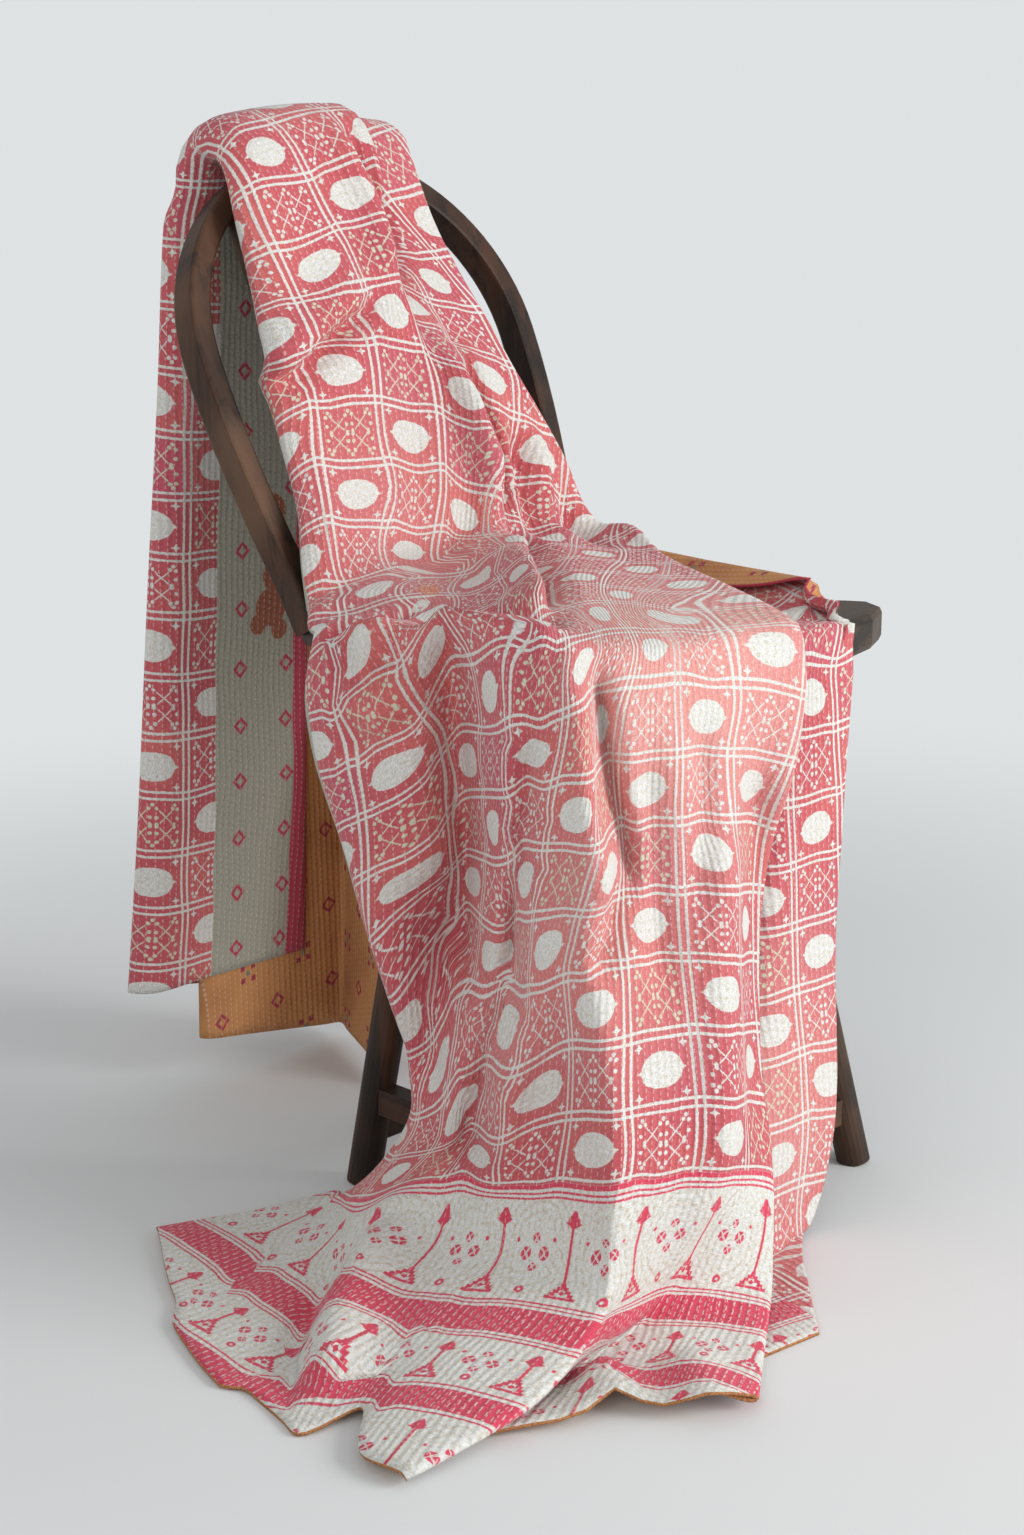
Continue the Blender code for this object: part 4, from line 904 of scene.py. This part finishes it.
def make_printed_cotton():
    """The quilt's face: the printed field, its side and end borders, and rows of running stitch."""
    finish = Finish("printed_cotton", 0.88)
    u0, v0 = finish.uv()
    flat = finish.pair(u0, v0)
    drift_u = finish.noise(flat, 0.011, 1.0) - 0.5
    drift_v = finish.noise(finish.pair(v0, u0, 7.0), 0.012, 1.0) - 0.5
    fray = finish.noise(flat, FRAY_SCALE, 1.0) - 0.5
    u = u0 + drift_u * PRINT_DRIFT + fray * PRINT_FRAY
    v = v0 + drift_v * PRINT_DRIFT + fray * PRINT_FRAY

    print_white, lines, plain, column, row = cell_print(finish, u, v)
    cloud = finish.noise(flat, 0.008, 3.0)
    cell_luck = finish.chance(finish.pair(column, row))
    ground = finish.mixed(cloud.above(0.52, 0.30), ROSE, CRIMSON)
    dyed = cell_luck.above(0.80, 0.02) * plain
    ground = finish.mixed(dyed * 0.45, ground, MAUVE)
    fade = joined([finish.distance(flat, (across, along, 0.0)).below(radius * 0.75, radius * 0.9) * share
                   for across, along, radius, share in FADED_SPOTS])
    worn_patch = (cloud - 0.5) * 0.9 + fade
    ground = finish.mixed(worn_patch.least(0.9).most(0.0), ground, FADED)
    weave = cross_weave(finish, u0, v0)
    thread = finish.noise(finish.pair(u0 * 1.9, v0 * 0.3), 1.0, 1.0)
    speck = finish.noise(flat, 0.30, 2.0)
    white = finish.mixed(speck.above(0.56, 0.18) * 0.6, OFF_WHITE, OATMEAL)
    green_dots = (cell_luck % 0.5).above(0.28, 0.02) * plain * (1.0 - lines)
    ink = finish.mixed(green_dots * 0.6, white, DOT_GREEN)
    worn = print_white * (0.78 + thread * 0.34)
    colour = finish.mixed(worn.least(1.0), ground, ink)

    colour = side_border(finish, u, v, colour, white)
    colour = end_border(finish, u, v, colour, white, speck)
    colour = needlework(finish, u0, v0, flat, colour)

    row_u = u0 + drift_v * ROW_DRIFT
    sewn = dashes(row_u, v0, ROW_APART, STITCH_LENGTH, STITCH_SHARE)
    colour = finish.mixed(sewn * 0.42, colour, STITCH)
    shade = (weave + thread - 1.0) * 0.7 + 1.0
    tint = finish.node("ShaderNodeVectorMath", operation="SCALE")
    finish.link(colour, tint.inputs[0])
    finish.link(shade.socket, tint.inputs["Scale"])

    quilt_relief(finish, row_u, v0, weave)
    finish.shader.inputs["Sheen Weight"].default_value = 0.15
    finish.shader.inputs["Specular IOR Level"].default_value = 0.2
    return finish.coloured(tint.outputs[0])


def cross_weave(finish, u, v):
    """Short threads across the cloth, as noise drawn out along u."""
    return finish.noise(finish.pair(u * 0.35, v * 1.6), 1.0, 1.0)


def quilt_relief(finish, u, v, weave):
    """Stitch rows sunk between soft ribs, gathered crosswise into small puckers."""
    rib = ((u * (2 * math.pi / ROW_APART)).math("COSINE")) * -0.5
    pucker = finish.noise(finish.pair(u * 0.11, v * 0.30), 1.0, 2.0, 0.55)
    finish.bump(rib * RIB_SHARE + pucker * PUCKER_SHARE + weave * WEAVE_SHARE, RELIEF)


# where the cloth's last panel is sewn on, beyond which the field runs on to the hem
PANEL_SEAM = 1000.0
# the border along the free long side, measured from the quilt's edge there
SIDE_EDGE = 107.0
SIDE_WIDTH = 100.0
SIDE_STRIPE = 12.0
# the border's ground: partly its own grey-green tone, partly painted shade of the hang behind the chair
SIDE_GREY_AND_SHADE = (0.300, 0.285, 0.220)
DIAMOND_COLUMNS = (20.0, 72.0)
DIAMOND_PITCH = 51.0
DIAMOND_REACH = 6.2
DIAMOND_HALF = 2.0

# bands of the end border, from the field outward: kind, width in millimetres
END_BANDS = (
    ("rose", 4.0), ("white", 2.6), ("red", 1.8), ("white", 2.2), ("red", 1.8), ("arrows", 80.0),
    ("red", 1.8), ("white", 2.2), ("red", 1.4), ("white", 2.6), ("dashed", 28.0), ("white", 2.6), ("red", 1.4),
    ("white", 2.2), ("red", 1.8),
    ("arrows", 58.0),
    ("red", 1.8), ("white", 3.0), ("dashed", 24.0), ("white", 3.0), ("red", 1.8),
    ("arrows", 90.0),
)
ARROW_PITCH = 64.0
ARROW_START = 20.0
HEAD_TOP = 7.0
HEAD_SIZE = (7.6, 12.0)
SHAFT_HALF = 1.2
# the stepped triangle: half its foot and its height, its gap to the band's edge, a step, half its top and
# the width of its wall
FOOT_SIZE = (12.0, 17.0)
FOOT_GAP = 6.0
FOOT_STEP = 3.4
FOOT_TOP_HALF = 2.4
FOOT_WALL = 4.6
# medallions: where along the band's width, then how far out and how large the wide and the tall petals are
MEDALLION_SHARE = 0.47
WIDE_PETAL = (8.4, 4.6)
TALL_PETAL = (9.6, 3.4)
# the small ring below them: how far under the triangle's top, its radius and its hole's
LOW_RING = (12.0, 3.6, 1.2)
SPECK = (17.0, -9.0, 1.5)
OGEE_PITCH = 5.6
OGEE_FROM = 15.0
# each band's arrows are shifted by this share of its distance from the field
BAND_SHIFT = 0.37
BRIGHT_ROWS = (5.6, 9.0, 0.55)
TAN = (0.470, 0.390, 0.270)


def side_border(finish, u, v, colour, white):
    """The edge beside the free long side: grey, partly its own grey-green tone and partly painted shade, with
    two columns of hollow diamonds, then a crimson stripe.
    """
    out = u - SIDE_EDGE
    on = out.below(SIDE_WIDTH, 1.0)
    q = abs((v - DIAMOND_PITCH / 2).spaced(DIAMOND_PITCH))
    diamonds = joined([(abs(out - column) + q - DIAMOND_REACH).within(DIAMOND_HALF, 1.0)
                       for column in DIAMOND_COLUMNS])
    # grey laid over the off-white: partly the border's own tone, partly painted shade
    ground = finish.mixed(on * 0.85, white, SIDE_GREY_AND_SHADE)
    colour = finish.mixed(on, colour, ground)
    colour = finish.mixed(on * diamonds, colour, CRIMSON)
    return finish.mixed(out.within(SIDE_STRIPE, 0.8), colour, CRIMSON)


def stepped(number, step):
    """The number rounded down to whole steps."""
    return (number * (1 / step)).floor() * step


def arrow_band(finish, u, down, width):
    """Red share of an off-white band, and its tan rings: arrows on stepped triangles, medallions between."""
    a = abs((u - ARROW_START).spaced(ARROW_PITCH))
    from_top = down - HEAD_TOP
    spade = (a - from_top * 0.62).below(1.2, 1.0) * from_top.within(HEAD_SIZE[1] * 0.62, 0.8)
    wings = (a * 0.55 + abs(from_top - HEAD_SIZE[1] * 0.75)).below(HEAD_SIZE[0] * 0.55, 1.0)
    head = (spade * from_top.above(0.0, 1.0)).most(wings)
    foot_top = width - FOOT_GAP - FOOT_SIZE[1]
    middle = (HEAD_TOP + foot_top + 3.0) / 2
    shaft = a.below(SHAFT_HALF, 0.7) * (down - middle).within(foot_top + 3.0 - middle, 1.0)
    below_top = down - foot_top
    tread = stepped(below_top, FOOT_STEP) * (FOOT_SIZE[0] / FOOT_SIZE[1]) + FOOT_TOP_HALF
    foot = (a - tread).below(0.0, 0.7) * (below_top - FOOT_SIZE[1] / 2).within(FOOT_SIZE[1] / 2, 0.8)
    open_height = (below_top - FOOT_SIZE[1] * 0.55).within(FOOT_SIZE[1] * 0.28, 0.8)
    hole = (a - tread + FOOT_WALL).below(0.0, 0.7) * open_height
    seed = (a + abs(below_top - FOOT_SIZE[1] * 0.60)).below(2.6, 0.8)
    arrow = head.most(shaft).most(foot * (1.0 - hole)).most(seed)

    side = abs(ARROW_PITCH / 2 - a)
    level = down - width * MEDALLION_SHARE
    rise = abs(level)
    place = finish.pair(side, rise)
    wide = finish.distance(place, (WIDE_PETAL[0], 0.0, 0.0)).below(WIDE_PETAL[1], 0.8)
    tall = finish.distance(place, (0.0, TALL_PETAL[0], 0.0)).below(TALL_PETAL[1], 0.8)
    wide_cross = (abs(side - WIDE_PETAL[0]) - rise).within(0.45, 0.5)
    tall_cross = (side - abs(rise - TALL_PETAL[0])).within(0.45, 0.5)
    medallions = wide.most(tall) * (1.0 - wide_cross.most(tall_cross))
    low = finish.distance(finish.pair(side, down), (0.0, foot_top + LOW_RING[0], 0.0))
    low = low.below(LOW_RING[1], 0.8) * (1.0 - low.below(LOW_RING[2], 0.8))
    specks = finish.distance(finish.pair(side, level), (*SPECK[:2], 0.0)).below(SPECK[2], 0.8)
    ring = finish.distance(finish.pair(side, level * 0.70), (0.0, 0.0, 0.0))
    ogee = ring.spaced(OGEE_PITCH).within(0.9, 1.6) * ring.above(OGEE_FROM, 2.0)
    return arrow.most(medallions).most(low).most(specks), ogee


def end_border(finish, u, v, colour, white, speck):
    """The border across the cloth's end: bands laid over the field from v = 0 outward."""
    out = v * -1.0
    here = out.above(0.0, 0.8) * u.below(PANEL_SEAM, 1.0)
    bands = {"red": [], "rose": [], "dashed": [], "arrows": [], "ogees": []}
    at = 0.0
    for kind, width in END_BANDS:
        start, at = at, at + width
        if kind == "white":
            continue
        share = (out - (start + width / 2)).within(width / 2, 0.8)
        if kind == "arrows":
            ink, ogee = arrow_band(finish, u + start * BAND_SHIFT, out - start, width)
            bands["ogees"].append(ogee * share)
            share = ink * share
        bands[kind].append(share)
    red = joined(bands["red"] + bands["dashed"] + bands["arrows"])
    paint = finish.mixed(joined(bands["ogees"]) * speck.above(0.45, 0.2) * 0.50, white, TAN)
    paint = finish.mixed(speck.above(0.64, 0.1) * 0.12, paint, BAND_RED)
    paint = finish.mixed(red, paint, BAND_RED)
    bright = dashes(u, v, *BRIGHT_ROWS) * joined(bands["dashed"])
    paint = finish.mixed(bright * 0.75, paint, OFF_WHITE)
    colour = finish.mixed(here, colour, paint)
    return finish.mixed(joined(bands["rose"]) * u.below(PANEL_SEAM, 1.0), colour, BAND_RED)


# ---- the reverse, the turned edge and the wood ----
ORANGE = (0.520, 0.240, 0.085)
ORANGE_DEEP = (0.260, 0.085, 0.030)
MOTIF_RED = (0.330, 0.035, 0.060)
MOTIF_GREEN = (0.200, 0.200, 0.150)
MOTIF_PITCH = (66.0, 74.0)
SQUARE_AT = 6.0
SQUARE_HALF = 2.6
DIAMOND_OUT = 6.5
# the rolled edge is crimson within this reach of the free side, and past this line on the other
EDGE_NEAR = SIDE_EDGE + 30.0
EDGE_FAR = 1040.0


def make_orange_back():
    """The reverse: orange cotton with small squares and hollow diamonds, and the same rows of stitches."""
    finish = Finish("orange_back", 0.88)
    u, v = finish.uv()
    flat = finish.pair(u, v)
    fray = (finish.noise(flat, FRAY_SCALE, 1.0) - 0.5) * 1.5
    cloud = finish.noise(flat, 0.012, 2.0)
    ground = finish.mixed(cloud.above(0.62, 0.3) * 0.6, ORANGE, ORANGE_DEEP)
    pitch_u, pitch_v = MOTIF_PITCH
    a = abs((u + fray) % pitch_u - pitch_u / 2)
    b = abs((v + fray) % pitch_v - pitch_v / 2)
    squares = (a - SQUARE_AT).within(SQUARE_HALF, 0.8) * (b - SQUARE_AT).within(SQUARE_HALF, 0.8)
    heart = a.most(b).below(2.4, 0.8)
    between_u = abs((u + pitch_u / 2) % pitch_u - pitch_u / 2)
    between_v = abs((v + pitch_v / 2) % pitch_v - pitch_v / 2)
    diamond = (between_u + between_v - DIAMOND_OUT).within(1.9, 1.0)
    colour = finish.mixed(squares.most(diamond), ground, MOTIF_RED)
    colour = finish.mixed(heart, colour, MOTIF_GREEN)
    colour = finish.mixed(dashes(u, v, ROW_APART, STITCH_LENGTH, STITCH_SHARE) * 0.35, colour, STITCH)
    weave = cross_weave(finish, u, v)
    quilt_relief(finish, u, v, weave)
    return finish.coloured(colour)


def make_rolled_edge():
    """The quilt's turned edge: orange cotton at the hems, crimson along the sides."""
    finish = Finish("rolled_edge", 0.88)
    grain = finish.noise(finish.object_place(), 900.0, 1.0)
    colour = finish.mixed(grain.above(0.5, 0.3), ORANGE, ORANGE_DEEP)
    u, v = finish.uv()
    side = u.below(EDGE_NEAR, 1.0).most(u.above(EDGE_FAR, 1.0))
    colour = finish.mixed(side, colour, CRIMSON)
    finish.bump(grain, 0.0004)
    return finish.coloured(colour)


WOOD_DARK = (0.013, 0.010, 0.008)
WOOD_BROWN = (0.088, 0.036, 0.018)
WOOD_WORN = (0.150, 0.080, 0.045)
SEAT_BROWN = (0.080, 0.048, 0.028)
GRAIN_SCALE = 60.0
STREAK_SCALE = 14.0
WEAR_SCALE = 6.0
GRAIN_RELIEF = 0.0011


def make_wood(name, light, along, roughness):
    """Old oiled wood: grain drawn out along one axis, pale where hands and sleeves wore it."""
    finish = Finish(name, roughness)
    place = finish.object_place()
    stretch = finish.node("ShaderNodeMapping")
    finish.link(place, stretch.inputs["Vector"])
    stretch.inputs["Scale"].default_value = along
    grain = finish.noise(stretch.outputs[0], GRAIN_SCALE, 5.0, 0.65)
    streak = finish.noise(stretch.outputs[0], STREAK_SCALE, 3.0, 0.6)
    cloud = finish.noise(place, WEAR_SCALE, 3.0)
    colour = finish.mixed(streak.above(0.5, 0.35), WOOD_DARK, light)
    colour = finish.mixed(grain.below(0.46, 0.10) * 0.8, colour, WOOD_DARK)
    colour = finish.mixed(cloud.above(0.60, 0.16) * 0.6, colour, WOOD_WORN)
    finish.shader.inputs["Specular IOR Level"].default_value = 0.22
    dullness = (grain * 0.12) + (roughness - 0.06)
    finish.link(dullness.socket, finish.shader.inputs["Roughness"])
    finish.bump(grain + streak, GRAIN_RELIEF)
    return finish.coloured(colour)


# ---- camera, floor and lights ----
# the floor's two tones, and the distances from the chair over which it goes over to the room's own tone
FLOOR_NEAR = (0.70, 0.71, 0.71)
FLOOR_FAR = (0.73, 0.74, 0.74)
SWEEP_REACH = (0.6, 1.7)
# the room: its tone, how bright the camera sees it, and how bright it lights
WORLD_TONE = (0.740, 0.765, 0.775, 1.0)
WORLD_STRENGTH = 1.0
WORLD_FILL = 0.74
LENS_MM = 60.0
FILM_MM = 36.0
CAMERA_AT = (-1.464, -1.311, 0.859)
CAMERA_PITCH = math.radians(90 - 14.75)
CAMERA_TURN = math.radians(-46.0)
FLOOR_HALF = 60.0
AIM_AT = np.array([0.0, 0.0, 0.35])
# softboxes: name, place, width, watts
SOFTBOXES = (
    ("window", (1.4, -3.0, 1.3), 2.0, 100.0),
    ("bounce", (-2.8, -1.4, 1.6), 2.4, 24.0),
)


def make_floor_finish():
    """Pale studio sweep: a matt floor that goes over to the room's own light away from the chair."""
    finish = Finish("pale_floor", 0.9)
    finish.shader.inputs["Specular IOR Level"].default_value = 0.1
    place = finish.object_place()
    cloud = finish.noise(place, 1.3, 3.0)
    finish.coloured(finish.mixed(cloud, FLOOR_NEAR, FLOOR_FAR))
    glow = finish.node("ShaderNodeEmission")
    glow.inputs["Color"].default_value = WORLD_TONE
    glow.inputs["Strength"].default_value = WORLD_STRENGTH
    away = finish.distance(place, (*CHAIR_AT[:2], 0.0))
    near, far = SWEEP_REACH
    share = ((away - near) * (1 / (far - near))).least(1.0).most(0.0)
    smooth = share * share * (3.0 - share * 2.0)
    blend = finish.node("ShaderNodeMixShader")
    finish.link(smooth.socket, blend.inputs[0])
    finish.link(finish.shader.outputs[0], blend.inputs[1])
    finish.link(glow.outputs[0], blend.inputs[2])
    finish.link(blend.outputs[0], finish.tree.nodes["Material Output"].inputs["Surface"])
    return finish.material


def column_of(strand, f):
    """Column of the sections' grid at fraction f across a strand."""
    return STRAND_COLUMNS * strand + (len(STRAND_STOPS) - 1) * f


def shaped(grid):
    """The creased points, the hidden first strand set back from the layers that hang before it."""
    row_at, column_at = grid[..., 3], grid[..., 4]
    hanging = np.clip(row_at - SET_BACK_FROM, 0.0, 1.0) * np.clip(SET_BACK_TO - row_at, 0.0, 1.0)
    share = hanging * np.clip((SET_BACK_COLUMN - column_at) / SET_BACK_FADE, 0.0, 1.0)
    return creased(grid[..., :3]) + share[..., None] * np.array(SET_BACK)


def quilt_grid():
    """The fine grid of the middle of the cloth: x, y, z, section number, column number, then flat u, v."""
    sections = quilt_sections()
    rows, columns = sections.shape[:2]
    numbers = np.stack(np.meshgrid(np.arange(rows), np.arange(columns), indexing="ij"), -1).astype(float)
    grid = with_rows(np.concatenate([sections, numbers], axis=2), COARSE_STEP)
    grid = with_columns(grid, MIDDLE_COLUMN, least=1)
    row_numbers, column_numbers = grid[:, 0, 3], grid[0, :, 4]
    row_at, column_at = np.meshgrid(row_numbers[:-1], column_numbers[:-1], indexing="ij")
    hidden = np.zeros(row_at.shape, bool)
    for strand, first, last in OUT_OF_SIGHT:
        hidden |= (column_at // STRAND_COLUMNS == strand) & (row_at > first) & (row_at < last)
    seat = (row_at > SEAT_ROWS[0]) & (row_at < SEAT_ROWS[1])
    keep = np.where(hidden, HIDDEN_KEEP, np.where(seat, SEAT_KEEP, 1.0))
    pins = []
    for strand, f, section_at, line_across, line_along in PATTERN_PINS:
        row = np.interp(section_at, row_numbers, np.arange(len(row_numbers)))
        column = np.interp(column_of(strand, f), column_numbers, np.arange(len(column_numbers)))
        pins.append((row, column, line_across * (CELL_U / MM), line_along * (CELL_V / MM), PIN_HOLD))
    flat = flattened(shaped(grid), keep, pins)
    grid = np.concatenate([grid, flat], axis=2)
    grid = with_rows(with_columns(grid, FINE_COLUMN), FINE_ROW)
    return np.concatenate([shaped(grid), grid[..., 3:]], axis=2)


def grid_mesh(name, points, flat):
    """A mesh of one quad for each cell of the grid, with the flat places as its UV map."""
    rows, columns = points.shape[:2]
    index = np.arange(rows * columns).reshape(rows, columns)
    quads = np.stack([index[:-1, :-1], index[:-1, 1:], index[1:, 1:], index[1:, :-1]], -1).reshape(-1, 4)
    mesh = bpy.data.meshes.new(name)
    mesh.vertices.add(rows * columns)
    mesh.vertices.foreach_set("co", points.reshape(-1))
    mesh.loops.add(quads.size)
    mesh.loops.foreach_set("vertex_index", quads.reshape(-1))
    mesh.polygons.add(len(quads))
    mesh.polygons.foreach_set("loop_start", np.arange(0, quads.size, 4))
    mesh.polygons.foreach_set("loop_total", np.full(len(quads), 4))
    mesh.update()
    mesh.validate()
    layer = mesh.uv_layers.new(name="flat")
    layer.data.foreach_set("uv", flat.reshape(-1, 2)[quads.reshape(-1)].reshape(-1))
    mesh.shade_smooth()
    return mesh


def make_quilt():
    """The quilt: its grid as a mesh, given its thickness on both sides of the grid."""
    grid = quilt_grid()
    points, flat = grid[..., :3] + CHAIR_AT, grid[..., 5:7]
    quilt = bpy.data.objects.new("stitched_quilt", grid_mesh("stitched_quilt", points, flat))
    bpy.context.scene.collection.objects.link(quilt)
    thick = quilt.modifiers.new("cloth", "SOLIDIFY")
    thick.thickness = CLOTH_THICK
    thick.offset = 0.0
    thick.use_rim = True
    thick.material_offset = 1
    thick.material_offset_rim = 2
    return quilt


def make_camera():
    data = bpy.data.cameras.new("camera")
    data.lens = LENS_MM
    data.sensor_width = FILM_MM
    data.sensor_fit = "AUTO"
    data.clip_start = 0.05
    data.clip_end = 200.0
    camera = bpy.data.objects.new("camera", data)
    camera.location = CHAIR_AT + np.array(CAMERA_AT)
    camera.rotation_euler = (CAMERA_PITCH, 0.0, CAMERA_TURN)
    bpy.context.scene.collection.objects.link(camera)
    bpy.context.scene.camera = camera


def make_floor():
    half = FLOOR_HALF
    mesh = bpy.data.meshes.new("floor")
    corners = [(-half, -half, 0), (half, -half, 0), (half, half, 0), (-half, half, 0)]
    mesh.from_pydata(corners, [], [(0, 1, 2, 3)])
    floor = bpy.data.objects.new("floor", mesh)
    bpy.context.scene.collection.objects.link(floor)
    floor.data.materials.append(make_floor_finish())


def make_lights():
    world = bpy.data.worlds.new("pale_room")
    world.use_nodes = True
    sky = world.node_tree.nodes["Background"]
    sky.inputs["Color"].default_value = WORLD_TONE
    seen = world.node_tree.nodes.new("ShaderNodeLightPath")
    strength = world.node_tree.nodes.new("ShaderNodeMapRange")
    world.node_tree.links.new(seen.outputs["Is Camera Ray"], strength.inputs["Value"])
    strength.inputs["To Min"].default_value = WORLD_FILL
    strength.inputs["To Max"].default_value = WORLD_STRENGTH
    world.node_tree.links.new(strength.outputs["Result"], sky.inputs["Strength"])
    bpy.context.scene.world = world
    for name, place, size, power in SOFTBOXES:
        data = bpy.data.lights.new(name, "AREA")
        data.shape = "DISK"
        data.size = size
        data.energy = power
        light = bpy.data.objects.new(name, data)
        light.location = place
        aim = AIM_AT - np.array(place)
        tilt = math.atan2(math.hypot(aim[0], aim[1]), -aim[2])
        light.rotation_euler = (tilt, 0.0, math.atan2(-aim[0], aim[1]))
        bpy.context.scene.collection.objects.link(light)
    bpy.context.scene.view_settings.view_transform = "Standard"


def main():
    make_camera()
    make_floor()
    make_lights()
    quilt = make_quilt()
    for made in (make_orange_back(), make_printed_cotton(), make_rolled_edge()):
        quilt.data.materials.append(made)
    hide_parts("quilt")
    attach(quilt, "root")
    upright = make_wood("dark_wood", WOOD_BROWN, (1.0, 1.0, 0.08), 0.5)
    level = make_wood("dark_wood_level", WOOD_BROWN, (0.3, 0.3, 1.0), 0.5)
    plank = make_wood("seat_wood", SEAT_BROWN, (0.08, 1.0, 1.0), 0.45)
    for name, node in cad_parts.items():
        made = plank if name == "seat" else level if name.startswith("stretcher") else upright
        node.data.materials.clear()
        node.data.materials.append(made)


main()
